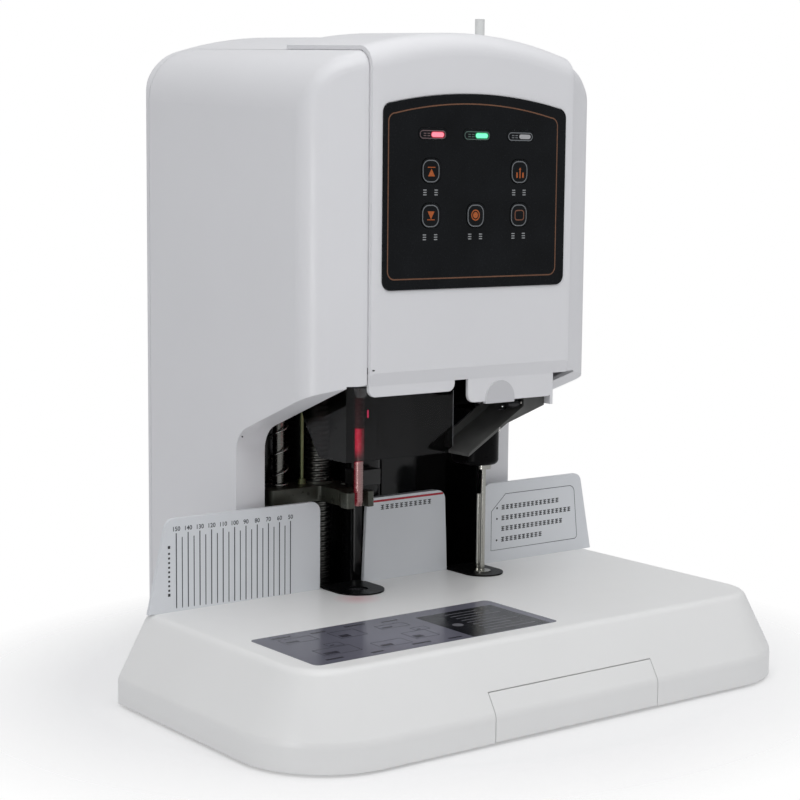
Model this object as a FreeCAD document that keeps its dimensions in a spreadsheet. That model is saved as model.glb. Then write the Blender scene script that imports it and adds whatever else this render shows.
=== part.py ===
"""Desk machine that punches a stack of paper and rivets it with a length of nylon tube.

Frame: origin on the desk under the middle of the machine, +X to the right of a person who
faces the machine, +Y away from them, +Z up.  Millimetres and degrees.
"""
import FreeCAD, Part
import os
import re
import Sketcher

SIZES = {
    # platform
    "base_half": 238, "base_front": -187, "base_corner": 67, "lip_top": 21,
    "skirt_bottom": 2, "deck_half": 213, "deck_front": -160.5, "deck_corner": 31,
    "deck_top": 65, "deck_round": 7, "lip_round": 9, "platform_rear": 44.5, "base_wall": 3,
    # bottom plate and feet
    "plate_bottom": 6, "plate_top": 9, "plate_gap": 0.5, "foot_radius": 14,
    "foot_side": 190, "foot_front": -140, "foot_middle": 15, "foot_rear_side": 100,
    "foot_rear": 160,
    # casing
    "casing_half": 134, "casing_rear": 185, "casing_wall": 3, "rear_round": 5,
    "side_front": -42.5, "facet_round": 24, "cover_half": 94.5, "cover_back": -62.5,
    "column_front": 50, "underside_rise": 190.4, "underside_lean": 21.8,
    "throat_round": 22, "shoulder_round": 41, "arch_round": 346, "apex_top": 494.5,
    "roof_lean": 2.8, "brow_round": 14, "brow_depth": 12, "cover_proud": 3,
    "corner_in": 84, "corner_low": 430, "corner_deep": 22,
    "seam_gap": 0.4, "rear_seam": 177, "cover_end": 42, "roof_low": 300,
    "throat_half": 108.4, "throat_skin": 0.5, "chin_top": 243.5, "chin_bottom": 234,
    "chin_back": -54.9,
    # flaps under the front cover
    "flap_thick": 2.5, "flap_top": 246, "left_flap_start": -94, "left_flap_end": -15.7,
    "left_flap_bottom": 226, "right_flap_start": -3, "right_flap_end": 81,
    "right_flap_bottom": 216.3, "flap_round": 6, "flap_return": 24, "return_bottom": 210,
    "return_top": 238, "cap_across": 27.7, "cap_height": 217.6, "cap_radius": 14,
    "cap_bottom": 214.6,
    # control panel
    "panel_half": 85.4, "panel_bottom": 302, "panel_side_top": 433.5, "panel_apex": 441.6,
    "panel_round": 7, "panel_face": -66.7, "panel_thick": 2, "panel_gap": 0.3,
    "key_half": 8.7, "key_round": 6.3, "key_proud": 0.4, "key_depth": 6.5, "key_gap": 0.4,
    "key_left": -43.2, "key_centre": -1.3, "key_right": 40.2, "key_upper": 386.6,
    "key_lower": 354.7, "lamp_height": 412.7, "lamp_half": 13, "lamp_rise": 4,
    "lamp_proud": 0.2, "lamp_gap": 0.2, "board_thick": 1.6, "board_stand": 5.5,
    "board_half": 74, "board_low": 312, "board_high": 428, "switch_half": 3,
    "switch_deep": 2.2, "stud_radius": 3,
    # stop plates on the deck
    "stop_face": 38.5, "stop_thick": 3, "stop_foot": 6, "stop_foot_thick": 2.5,
    "left_stop_low": -216, "left_stop_high": -200.5, "left_stop_end": -65.1,
    "left_stop_top": 134, "middle_stop_start": -23.5, "middle_stop_lean": 3,
    "middle_stop_end": 60.4, "stop_top": 131.4, "stop_round": 8, "right_stop_start": 97.4,
    "right_stop_low": 219, "right_stop_high": 205,
    # stations on the deck
    "drill_across": -42.6, "drill_along": 19.6, "station_radius": 19, "station_gap": 0.3,
    "station_depth": 5, "station_proud": 1.2, "station_rim": 1.5, "pad_radius": 8,
    "pad_thick": 4, "chip_radius": 4.2,
    "rivet_across": 77.2, "rivet_along": 14, "rivet_radius": 15.5, "die_radius": 7,
    "die_proud": 0.8, "fit_gap": 0.05, "post_across": 81.4, "post_along": 24,
    "post_radius": 2.4, "post_top": 128,
    # frame inside the casing
    "frame_inner": 109, "frame_thick": 4, "frame_column": 104, "frame_rear": 180,
    "frame_nose": -46, "frame_top": 428, "arm_top": 330, "head_bottom": 262, "head_top": 270,
    "bridge_bottom": 424, "bridge_front": 50, "liner_back": 97, "liner_thick": 2,
    "liner_half": 107, "liner_front": 56, "pilaster_radius": 17, "pilaster_across": -8.5,
    "pilaster_along": 64,
    # press arm and its drive
    "rod_along": 73.5, "rod_radius": 4.6, "left_rod": -80.5, "right_rod": -6,
    "screw_radius": 10, "journal_radius": 5, "arm_bottom": 130,
    "arm_thick": 12, "arm_left": -97, "arm_right": -26, "arm_front": 58, "arm_back": 90,
    "neck_half": 9, "fork_outer": 13, "fork_inner": 6.5, "fork_reach": 4, "fork_start": 13,
    "nut_radius": 12, "nut_rise": 2, "sensor_across": -58.5, "sensor_radius": 1.5,
    "sensor_top": 272, "sensor_gap": 0.8, "coil_radius": 7.2, "wire_radius": 0.75,
    "coil_pitch": 13, "bearing_half": 15, "bearing_rise": 14, "motor_half": 21,
    "motor_rise": 38,
    "rest_left": -34, "rest_right": -11, "rest_front": 34, "rest_back": 49.4,
    "rest_gap": 1, "rest_rise": 12, "rest_web": 60,
    # drill head
    "bit_radius": 3.5, "bit_bore": 2.6, "bit_tip": 131, "chuck_bottom": 215,
    "chuck_top": 250, "chuck_radius": 13, "spindle_radius": 6, "spindle_top": 384,
    "spindle_hole": 15, "grip_depth": 24, "drill_plate_bottom": 340, "drill_plate_thick": 10,
    "drill_plate_left": -97, "drill_plate_right": 10, "drill_plate_front": -6,
    "drill_plate_back": 134, "housing_radius": 22, "housing_top": 388,
    "drill_motor_radius": 25, "drill_motor_rise": 74, "feed_along": 118, "feed_radius": 6,
    "screw_clear": 10,
    # rivet head
    "head_left": 54, "head_right": 85.5, "head_front": -4, "head_back": 36,
    "head_low": 155, "head_high": 200, "head_round": 15, "upper_die_radius": 6,
    "upper_die_drop": 5, "upper_die_seat": 12, "ram_radius": 8, "ram_bore": 2.4,
    "ram_gap": 0.5, "rivet_plate_left": 50, "rivet_plate_right": 104,
    "rivet_plate_front": -4, "rivet_plate_back": 134, "rivet_plate_bottom": 350,
    "rivet_plate_thick": 10, "rivet_rod_span": 19, "mandrel_radius": 2,
    "mandrel_top": 300, "mandrel_bottom": 62, "lifter_radius": 9, "lifter_rise": 18,
    "post_clear": 3.1, "post_relief": 8,
    # tube feed
    "tube_across": 70, "tube_along": 18, "tube_radius": 3.75, "tube_bore": 2.3,
    "tube_top": 504, "tube_port_gap": 1, "feeder_bottom": 412, "feeder_top": 436,
    "feeder_left": 56, "feeder_front": 4, "feeder_back": 34, "roller_radius": 9,
    "roller_wide": 9, "roller_height": 455, "roller_gap": 0.3, "axle_radius": 2,
    "ear_thick": 3, "ear_reach": 8, "ear_right": 92, "ear_top": 466, "blade_thick": 1.5,
    "blade_high": 416, "pipe_along": -36, "pipe_radius": 6, "pipe_bore": 4.8,
    "pipe_knee": 346, "pipe_bottom": 226, "pipe_clear": 7,
    # chute, guard, laser
    "chute_front": -56, "chute_back": -20, "chute_low": 4,
    "chute_low_top": 177, "chute_lean": 31.1, "chute_thick": 2, "chute_wall_rise": 7,
    "hanger_wide": 20, "cheek_left": 36.8,
    "cheek_step": 57.6, "cheek_right_low": 208.7, "cheek_top": 224,
    "guard_left": -91.3, "guard_right": 8.6, "guard_front": -31.5, "guard_thick": 3,
    "guard_bottom": 174.8, "guard_step": 2.7, "guard_notch": 23, "guard_notch_top": 201,
    "guard_back": 36, "guard_rise": 232, "laser_across": -14, "laser_along": 6,
    "laser_radius": 6, "laser_drop": 34,
    # drawer
    "drawer_half": 77, "drawer_top": 35.5, "drawer_gap": 0.5, "tray_inset": 3.5,
    "tray_back": 38, "tray_top": 33, "tray_wall": 2, "tray_lift": 0.3, "tray_nose": -181,
    "rail_gap": 0.5, "rail_thick": 2, "rail_top": 20, "rail_front": -150,
    # boards, supply, inlet
    "main_board_front": 106, "main_board_back": 172, "main_board_low": 285,
    "main_board_high": 405, "main_board_stand": 6, "supply_left": -96, "supply_right": -4,
    "supply_front": 108, "supply_back": 172, "supply_top": 62,
    "inlet_across": 66, "inlet_height": 60, "inlet_half": 24, "inlet_rise": 13,
    "inlet_deep": 22, "inlet_rim": 3, "rocker_across": 22, "rocker_half": 7,
    "rocker_rise": 10, "rocker_frame": 3, "rocker_proud": 2, "bezel_proud": 0.8,
    "vent_half": 55, "vent_rise": 3, "vent_pitch": 9, "vent_low": 250,
    "screw_head": 3.2, "screw_side": 118, "screw_low": 30, "screw_high": 420,
    "screw_sink": 2,
}
VENT_ROWS = 8
LAMPS = 3

WORD = re.compile(r"[a-z_]+")
UP = FreeCAD.Vector(0, 0, 1)
TURN_TO = {
    "x": FreeCAD.Rotation(UP, FreeCAD.Vector(1, 0, 0)),
    "y": FreeCAD.Rotation(UP, FreeCAD.Vector(0, 1, 0)),
    "z": FreeCAD.Rotation(),
}
PLANES = {"z": "XY_Plane", "y": "XZ_Plane", "x": "YZ_Plane"}

doc = FreeCAD.newDocument("riveting_machine")
pieces = {}


def fill_sheet():
    """Write every driving size into the sheet, each under its own alias."""
    sheet = doc.addObject("Spreadsheet::Sheet", "Sizes")
    for row, (alias, size) in enumerate(SIZES.items(), start=1):
        sheet.set(f"A{row}", alias)
        sheet.set(f"B{row}", str(size))
        sheet.setAlias(f"B{row}", alias)
    doc.recompute()
    return sheet


def tied(text):
    """Turn the aliases in a formula into references to the sheet."""
    def refer(word):
        name = word.group()
        return f"Sizes.{name}" if name in SIZES else name
    return WORD.sub(refer, str(text))


def value(text):
    """Number that a formula gives at the sizes now in the sheet."""
    return float(sizes.evalExpression(tied(text)))


def bind(item, **formulas):
    """Bind properties of an object to formulas."""
    for name, text in formulas.items():
        item.setExpression(name, tied(text))


def place(item, x, y, z):
    """Bind an object's position to three formulas."""
    for axis, text in zip("xyz", (x, y, z)):
        item.setExpression(f"Placement.Base.{axis}", tied(text))


# ---------------------------------------------------------------- Part primitives

def block(name, low, high):
    """Box between two corners, each given as three formulas."""
    item = doc.addObject("Part::Box", name)
    place(item, *low)
    for side, start, end in zip(("Length", "Width", "Height"), low, high):
        item.setExpression(side, tied(f"({end}) - ({start})"))
    return item


def rod(name, start, length, radius, axis="z"):
    """Cylinder from a start point along one axis."""
    item = doc.addObject("Part::Cylinder", name)
    item.Placement = FreeCAD.Placement(FreeCAD.Vector(), TURN_TO[axis])
    place(item, *start)
    bind(item, Height=length, Radius=radius)
    return item


def joined(name, *parts):
    item = doc.addObject("Part::MultiFuse", name)
    item.Shapes = list(parts)
    return item


def shared(name, *parts):
    item = doc.addObject("Part::MultiCommon", name)
    item.Shapes = list(parts)
    return item


def carved(name, base, *tools):
    item = doc.addObject("Part::Cut", name)
    item.Base = base
    item.Tool = tools[0] if len(tools) == 1 else joined(f"{name}_tools", *tools)
    return item


def grouped(name, *parts):
    item = doc.addObject("Part::Compound", name)
    item.Links = list(parts)
    return item


def keep(label, item):
    """Register an object as a finished piece."""
    item.Label = label
    pieces[label] = item
    return item


# ---------------------------------------------------------------- sketches and bodies

def arc_between(start, end, radius):
    """Minor arc that bulges to the right of start-to-end; a negative radius bulges left."""
    chord = end - start
    middle = (start + end) * 0.5
    right = FreeCAD.Vector(chord.y, -chord.x, 0).normalize()
    depth = abs(radius) - (max(radius ** 2 - (chord.Length / 2) ** 2, 0)) ** 0.5
    return Part.Arc(start, middle + right * (depth if radius > 0 else -depth), end)


def draw_outline(sketch, outline):
    """Closed outline; a vertex (x, y, radius) starts an arc, and every value is bound."""
    corners = [FreeCAD.Vector(value(spot[0]), value(spot[1]), 0) for spot in outline]
    first = sketch.GeometryCount
    starts = []
    for index, spot in enumerate(outline):
        begin = corners[index]
        end = corners[(index + 1) % len(outline)]
        radius = value(spot[2]) if len(spot) > 2 else None
        if radius is None:
            sketch.addGeometry(Part.LineSegment(begin, end))
        else:
            sketch.addGeometry(arc_between(begin, end, radius))
        starts.append(2 if radius is not None and radius < 0 else 1)
    count = len(outline)
    for index, spot in enumerate(outline):
        after = (index + 1) % count
        sketch.addConstraint(Sketcher.Constraint(
            "Coincident", first + index, 3 - starts[index], first + after, starts[after]))
        for kind, text in (("DistanceX", spot[0]), ("DistanceY", spot[1])):
            made = sketch.addConstraint(Sketcher.Constraint(
                kind, -1, 1, first + index, starts[index], value(text)))
            sketch.setExpression(f"Constraints[{made}]", tied(text))
        if len(spot) > 2:
            made = sketch.addConstraint(Sketcher.Constraint(
                "Radius", first + index, abs(value(spot[2]))))
            sketch.setExpression(f"Constraints[{made}]", tied(f"abs({spot[2]})"))


def draw_circle(sketch, x, y, radius):
    centre = FreeCAD.Vector(value(x), value(y), 0)
    made = sketch.addGeometry(Part.Circle(centre, UP, value(radius)))
    for kind, text in (("DistanceX", x), ("DistanceY", y)):
        bound = sketch.addConstraint(Sketcher.Constraint(kind, -1, 1, made, 3, value(text)))
        sketch.setExpression(f"Constraints[{bound}]", tied(text))
    bound = sketch.addConstraint(Sketcher.Constraint("Radius", made, value(radius)))
    sketch.setExpression(f"Constraints[{bound}]", tied(radius))


def sketch_on(body, axis, offset, loops):
    """Sketch across one axis; a loop is an outline or a circle (x, y, radius)."""
    sketch = body.newObject("Sketcher::SketchObject", f"{body.Name}_sketch")
    planes = body.Origin.OriginFeatures
    sketch.AttachmentSupport = [(next(p for p in planes if p.Role == PLANES[axis]), "")]
    sketch.MapMode = "FlatFace"
    sketch.setExpression("AttachmentOffset.Base.z", tied(offset))
    for loop in loops:
        if isinstance(loop, tuple):
            draw_circle(sketch, *loop)
        else:
            draw_outline(sketch, loop)
    return sketch


def new_body(name):
    return doc.addObject("PartDesign::Body", name)


def pad(body, axis, start, length, *loops):
    """Add a prism that runs from start, by length, towards + along the axis."""
    offset = f"-(({start}) + ({length}))" if axis == "y" else start
    feature = body.newObject("PartDesign::Pad", f"{body.Name}_pad")
    feature.Profile = sketch_on(body, axis, offset, loops)
    bind(feature, Length=length)
    return body


def pocket(body, axis, start, length, *loops):
    """Cut a prism that runs from start, by length, towards + along the axis."""
    doc.recompute()
    before = body.Shape.Volume
    offset = f"-({start})" if axis == "y" else f"({start}) + ({length})"
    feature = body.newObject("PartDesign::Pocket", f"{body.Name}_pocket")
    feature.Profile = sketch_on(body, axis, offset, loops)
    bind(feature, Length=length)
    doc.recompute()
    if body.Shape.Volume >= before:
        raise RuntimeError(f"{feature.Name} cut nothing")
    return body


def soften(body, radius, wanted):
    """Round the edges of a body that pass a test."""
    doc.recompute()
    base = body.Tip
    edges = enumerate(base.Shape.Edges, 1)
    names = [f"Edge{number}" for number, edge in edges if wanted(edge)]
    fillet = body.newObject("PartDesign::Fillet", f"{body.Name}_fillet")
    fillet.Base = (base, names)
    bind(fillet, Radius=radius)
    doc.recompute()
    if "Invalid" in fillet.State:
        raise RuntimeError(f"{fillet.Name} failed on {len(names)} edges")
    return body


def upright(edge):
    ends = [vertex.Point for vertex in edge.Vertexes]
    return len(ends) == 2 and abs((ends[1] - ends[0]).normalize().z) > 0.999


def rectangle(left, low, right, high):
    return [(left, low), (right, low), (right, high), (left, high)]


def rounded(left, low, right, high, radius):
    """Rectangle with four round corners, anticlockwise."""
    return [
        (f"({left})+({radius})", low), (f"({right})-({radius})", low, radius),
        (right, f"({low})+({radius})"), (right, f"({high})-({radius})", radius),
        (f"({right})-({radius})", high), (f"({left})+({radius})", high, radius),
        (left, f"({high})-({radius})"), (left, f"({low})+({radius})", radius),
    ]


def centred(x, y, half_x, half_y, radius):
    return rounded(f"({x})-({half_x})", f"({y})-({half_y})",
                   f"({x})+({half_x})", f"({y})+({half_y})", radius)


# ---------------------------------------------------------------- platform

def platform_outline(half, front, corner, inset):
    """Plan of the platform: square at the rear, two round corners in front."""
    side, near, turn = f"({half}-{inset})", f"({front}+{inset})", f"({corner}-{inset})"
    rear = f"(platform_rear-{inset})"
    return [
        (side, rear), (f"-{side}", rear),
        (f"-{side}", f"{near}+{turn}", turn), (f"{turn}-{side}", near),
        (f"{side}-{turn}", near, turn), (side, f"{near}+{turn}"),
    ]


def platform_form(name, inset, bottom, soft):
    """Solid platform: straight lip at the foot, sloped sides up to the deck."""
    body = new_body(name)
    foot = platform_outline("base_half", "base_front", "base_corner", inset)
    deck = platform_outline("deck_half", "deck_front", "deck_corner", inset)
    pad(body, "z", bottom, f"lip_top-({bottom})", foot)
    slope = body.newObject("PartDesign::AdditiveLoft", f"{name}_slope")
    slope.Profile = sketch_on(body, "z", "lip_top", [foot])
    slope.Sections = [sketch_on(body, "z", f"deck_top-{inset}", [deck])]
    slope.Ruled = True
    if soft:
        rear = value("platform_rear") - 1

        def at_height(height):
            return lambda edge: all(
                abs(v.Z - height) < 0.01 for v in edge.Vertexes) and edge.CenterOfMass.y < rear
        soften(body, "deck_round", at_height(value("deck_top")))
        soften(body, "lip_round", at_height(value("lip_top")))
    return body


def station_outline(across, along, radius, grow, rear):
    """U-shaped plan of a station, open to the rear."""
    wide = f"({radius}+{grow})"
    return [
        (f"{across}-{wide}", along, wide), (across, f"{along}-{wide}", wide),
        (f"{across}+{wide}", along), (f"{across}+{wide}", rear), (f"{across}-{wide}", rear),
    ]


STATIONS = {
    "drill": ("drill_across", "drill_along", "station_radius"),
    "rivet": ("rivet_across", "rivet_along", "rivet_radius"),
}


def floor_passage(name):
    """Way under the platform's rear wall and the column's front for the bottom plate."""
    inside = "(casing_half-casing_wall)"
    return block(name, (f"-{inside}", "platform_rear-base_wall-1", "-20"),
                 (inside, "column_front+casing_wall+1", "plate_top+plate_gap"))


def make_platform():
    outer = platform_form("platform_outer", "0", "skirt_bottom", True)
    inner = platform_form("platform_inner", "base_wall", "skirt_bottom-10", False)
    shell = carved("platform_shell", outer, inner)
    cuts = new_body("platform_cuts")
    for across, along, radius in STATIONS.values():
        pad(cuts, "z", "deck_top-station_depth-station_gap", "station_depth+10",
            station_outline(across, along, radius, "station_gap", "platform_rear+5"))
    passage = floor_passage("platform_passage")
    mouth = block("drawer_mouth", ("-drawer_half", "base_front-10", "skirt_bottom-10"),
                  ("drawer_half", "deck_front+4", "drawer_top"))
    keep("base_shell", carved("base_shell", shell, cuts, mouth, passage))

    reach = "(drawer_half-drawer_gap)"
    window = block("drawer_window", (f"-{reach}", "base_front-10", "skirt_bottom+drawer_gap"),
                   (reach, "deck_front+4", "drawer_top-drawer_gap"))
    face = shared("drawer_face", shell, window)
    floor = "plate_top+tray_lift"
    tray = carved("drawer_tray",
                  block("tray_outer", ("tray_inset-drawer_half", "tray_nose", floor),
                        ("drawer_half-tray_inset", "tray_back", "tray_top")),
                  block("tray_inner", ("tray_inset-drawer_half+tray_wall", "tray_nose-10",
                                       f"{floor}+tray_wall"),
                        ("drawer_half-tray_inset-tray_wall", "tray_back-tray_wall", "tray_top+5")))
    fitted = shared("tray_fitted", tray, outer)
    keep("chip_drawer", joined("chip_drawer", face, fitted))


def make_bottom_plate():
    body = new_body("base_plate_body")
    gap = "(base_wall+plate_gap)"
    side, near = f"(base_half-{gap})", f"(base_front+{gap})"
    turn = f"(base_corner-{gap})"
    step = "(casing_half-casing_wall-plate_gap)"
    rear = f"(platform_rear-{gap})"
    back = "(casing_rear-casing_wall-plate_gap)"
    bend = "(rear_round-casing_wall-plate_gap)"
    pad(body, "z", "plate_bottom", "plate_top-plate_bottom", [
        (side, rear), (step, rear), (step, f"{back}-{bend}", bend), (f"{step}-{bend}", back),
        (f"{bend}-{step}", back, bend), (f"-{step}", f"{back}-{bend}"), (f"-{step}", rear),
        (f"-{side}", rear), (f"-{side}", f"{near}+{turn}", turn), (f"{turn}-{side}", near),
        (f"{side}-{turn}", near, turn), (side, f"{near}+{turn}")])
    pocket(body, "z", "plate_bottom-1", "plate_top-plate_bottom+2",
           rectangle("-drawer_half-1", "base_front-5", "drawer_half+1", "deck_front-8"))
    rails = [
        block(f"drawer_rail_{side_name}", (start, "rail_front", "plate_top"),
              (f"{start}+rail_thick", "tray_back", "rail_top"))
        for side_name, start in (("left", "tray_inset-drawer_half-rail_gap-rail_thick"),
                                 ("right", "drawer_half-tray_inset+rail_gap"))]
    keep("base_plate", joined("base_plate", body, *rails))

    spots = [(f"{sign}foot_side", along) for sign in ("-", "")
             for along in ("foot_front", "foot_middle")]
    spots += [("-foot_rear_side", "foot_rear"), ("foot_rear_side", "foot_rear")]
    feet = [rod(f"foot_{number}", (x, y, "0"), "plate_bottom", "foot_radius")
            for number, (x, y) in enumerate(spots, 1)]
    keep("rubber_feet", grouped("rubber_feet", *feet))


# ---------------------------------------------------------------- casing

def side_outline(inset, bottom):
    """Seen from the side: column, round throat corner and rising underside of the head."""
    front = f"(column_front+{inset})"
    rise = f"(underside_rise+{inset}*(1/cos(underside_lean)-tan(underside_lean)))"
    turn = f"(throat_round+{inset})"
    reach = f"({turn}*tan(45-underside_lean/2))"
    nose = "-120"
    nose_rise = f"{rise}+({front}-({nose}))*tan(underside_lean)"
    return [
        (front, bottom), (f"casing_rear-{inset}", bottom), (f"casing_rear-{inset}", "600"),
        (nose, "600"), (nose, nose_rise),
        (f"{front}-{reach}*cos(underside_lean)", f"{rise}+{reach}*sin(underside_lean)",
         f"-{turn}"),
        (front, f"{rise}-{reach}"),
    ]


def roof_outline(inset):
    """Seen from the front: straight sides, round shoulders and a low arch."""
    half, turn, arch = (f"(casing_half-{inset})", f"(shoulder_round-{inset})",
                        f"(arch_round-{inset})")
    centre = "(apex_top-arch_round)"
    span = "(arch_round-shoulder_round)"
    offset = "(casing_half-shoulder_round)"
    lift = f"sqrt({span}^2-{offset}^2)"
    tangent_x = f"{arch}*{offset}/{span}"
    tangent_z = f"{centre}+{arch}*{lift}/{span}"
    spring = f"{centre}+{lift}"
    return [
        (f"-{half}", "-2*apex_top"), (half, "-2*apex_top"), (half, spring, turn),
        (tangent_x, tangent_z, arch), (f"-{tangent_x}", tangent_z, turn),
        (f"-{half}", spring),
    ]


def plan_outline(inset):
    """Seen from above: round rear corners, and facets between the sides and the front."""
    half, rear = f"(casing_half-{inset})", f"(casing_rear-{inset})"
    turn = f"(rear_round-{inset})"
    pitch = "((side_front-cover_back)/(casing_half-cover_half))"
    skew = f"sqrt(1+{pitch}^2)"
    side = f"side_front+{inset}*({skew}-{pitch})"
    nose = f"(cover_half+{inset}*(1-{skew})/{pitch})"
    front = f"cover_back+{inset}"
    return [
        (half, f"{rear}-{turn}", turn), (f"{half}-{turn}", rear),
        (f"{turn}-{half}", rear, turn), (f"-{half}", f"{rear}-{turn}"),
        (f"-{half}", side), (f"-{nose}", front), (nose, front), (half, side),
    ]


def roof_form(name, inset, lean, pivot_y, pivot_z):
    """Roof prism that leans forward about a point on its crest line."""
    roof = pad(new_body(name), "y", "-3*apex_top", "6*apex_top", roof_outline(inset))
    roof.Placement = FreeCAD.Placement(
        FreeCAD.Vector(), FreeCAD.Rotation(FreeCAD.Vector(1, 0, 0), 1))
    bind(roof, **{"Placement.Rotation.Angle": lean})
    place(roof, "0", f"{pivot_y}-{pivot_y}*cos({lean})+{pivot_z}*sin({lean})",
          f"{pivot_z}-{pivot_y}*sin({lean})-{pivot_z}*cos({lean})")
    return roof


def casing_form(name, inset, bottom):
    """Solid shape of the casing, moved in from the outer face by the inset."""
    side = pad(new_body(f"{name}_side"), "x", "-200", "400", side_outline(inset, bottom))
    roof = roof_form(f"{name}_roof", inset, "roof_lean", "casing_rear", "apex_top")
    plan = pad(new_body(f"{name}_plan"), "z", "-50", "700", plan_outline(inset))
    front = value("side_front") + 20

    def facet_edge(edge):
        return upright(edge) and edge.CenterOfMass.y < front
    soften(plan, f"facet_round-{inset}", facet_edge)
    return [side, roof, plan]


def outer_form(name, inset):
    """Solid casing shape with the front of its roof rounded."""
    form = shared(name, *casing_form(name, inset, "skirt_bottom"))
    doc.recompute()
    front, level = value(f"cover_back+{inset}"), value("apex_top-shoulder_round")
    radius = value(f"brow_round-{inset}")
    picked = []
    for number, edge in enumerate(form.Shape.Edges, 1):
        box = edge.BoundBox
        if box.YLength < 0.5 and abs(box.YMin - front) < 0.5 and box.ZMin > level:
            picked.append((number, radius, radius))
    item = doc.addObject("Part::Fillet", f"{name}_brow")
    item.Base = form
    item.Edges = picked
    return item


def hollow_form(name):
    """Room inside the casing; a second roof and two corner blocks keep the brow thick."""
    crest = "(apex_top-(casing_rear-cover_back)*tan(roof_lean))"
    brow = roof_form(f"{name}_brow", "1", "45", "cover_back",
                     f"({crest}-brow_depth)")
    room = shared(f"{name}_room", *casing_form(name, "casing_wall", "-30"), brow)
    corners = [block(f"{name}_{label}_corner", (start, "cover_back-1", "corner_low"),
                     (end, "cover_back+corner_deep", "apex_top"))
               for label, start, end in (("left", "-casing_half", "-corner_in"),
                                         ("right", "corner_in", "casing_half"))]
    return carved(name, room, *corners)


def throat_tool():
    """Everything under the head and in front of the column, between the flanges."""
    skin = "(casing_wall+throat_skin)"
    front = f"(column_front+{skin})"
    rise = f"(underside_rise+{skin}*(1/cos(underside_lean)-tan(underside_lean)))"
    turn = f"(throat_round+{skin})"
    reach = f"({turn}*tan(45-underside_lean/2))"
    chin_rise = f"{rise}+({front}-chin_back)*tan(underside_lean)"
    body = new_body("throat_tool")
    return pad(body, "x", "-throat_half", "2*throat_half", [
        ("-150", "-20"), (front, "-20"), (front, f"{rise}-{reach}", turn),
        (f"{front}-{reach}*cos(underside_lean)", f"{rise}+{reach}*sin(underside_lean)"),
        ("chin_back", chin_rise), ("chin_back", "chin_bottom"),
        ("cover_back", "chin_bottom"), ("cover_back-cover_proud", "chin_top"),
        ("-150", "chin_top")])


def make_casing():
    body_form = outer_form("casing_outer", "0")
    hollow = hollow_form("casing_hollow")
    cover_form = outer_form("cover_outer", "(0-cover_proud)")
    throat = throat_tool()
    shell = carved("casing_shell", body_form, hollow, throat, floor_passage("column_passage"))
    far = "300"
    edge = "(cover_half+seam_gap)"
    seam = "(rear_seam-seam_gap/2)"
    left = shared("left_shell", shell,
                  block("left_zone", (f"-{far}", f"-{far}", "-20"), (f"-{edge}", seam, "600")))
    right = shared("right_shell", shell,
                   block("right_zone", (edge, f"-{far}", "-20"), (far, seam, "600")))
    keep("left_side_shell", left)
    keep("right_side_shell", right)

    rear_zone = joined(
        "rear_zone",
        block("rear_wall_zone", (f"-{far}", "rear_seam+seam_gap/2", "-20"), (far, far, "600")),
        block("rear_roof_zone", ("-cover_half", "cover_end+seam_gap", "roof_low"),
              ("cover_half", far, "600")))
    rear = shared("rear_blank", shell, rear_zone)
    keep("rear_cover", carved("rear_cover", rear, *rear_cuts()))

    band = shared("cover_band",
                  carved("cover_skin", cover_form, body_form, throat),
                  block("cover_zone", ("-cover_half", f"-{far}", "150"),
                        ("cover_half", "cover_end", "600")))
    cuts = [panel_body("panel_recess", "panel_gap", "panel_face+panel_thick", 0)]
    cuts += [key_cut("cover_key", number, x, z) for number, (x, z) in enumerate(KEYS.values())]
    cuts.append(rod("tube_port", ("tube_across", "tube_along", "apex_top-60"), "100",
                    "tube_radius+tube_port_gap"))
    keep("front_cover", joined("front_cover", carved("cover_cut", band, *cuts),
                               flap_body("left_flap", "left_flap_start", "left_flap_end",
                                         "left_flap_bottom"),
                               flap_body("right_flap", "right_flap_start", "right_flap_end",
                                         "right_flap_bottom"),
                               block("flap_side", ("right_flap_end-flap_thick", "cover_back",
                                                   "return_bottom"),
                                     ("right_flap_end", "cover_back+flap_return", "return_top")),
                               finger_cap()))


def finger_cap():
    """Round thumb rest on the right flap, cut off just below the flap's edge."""
    disc = rod("cap_disc", ("cap_across", "cover_back-1", "cap_height"), "flap_thick+1",
               "cap_radius", "y")
    below = block("cap_trim", ("cap_across-cap_radius-1", "cover_back-2",
                               "cap_height-cap_radius-1"),
                  ("cap_across+cap_radius+1", "cover_back+flap_thick+1", "cap_bottom"))
    return carved("finger_cap", disc, below)


def flap_body(name, left, right, bottom):
    return pad(new_body(name), "y", "cover_back", "flap_thick",
               rounded(left, bottom, right, "flap_top", "flap_round"))


def rear_cuts():
    """Vents, inlet, switch and screw holes in the rear wall."""
    wall, deep = "casing_rear-casing_wall-1", "casing_wall+10"
    cuts = new_body("rear_cuts")
    for row in range(VENT_ROWS):
        height = f"vent_low+{row}*vent_pitch"
        pad(cuts, "y", wall, deep, rounded("-vent_half", height, "vent_half",
                                           f"{height}+vent_rise", "vent_rise/2-0.01"))
    pad(cuts, "y", wall, deep,
        centred("inlet_across", "inlet_height", "inlet_half", "inlet_rise", "inlet_rim"))
    pad(cuts, "y", wall, deep,
        centred("rocker_across", "inlet_height", "rocker_half", "rocker_rise", "1"))
    holes = [rod(f"screw_hole_{n}", (x, "casing_rear-screw_sink", z), "screw_sink+5",
                 "screw_head+panel_gap", "y") for n, (x, z) in enumerate(SCREWS)]
    return [cuts, *holes]


SCREWS = [(f"{sign}screw_side", height) for sign in ("-", "")
          for height in ("screw_low", "(screw_low+screw_high)/2", "screw_high")]


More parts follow.
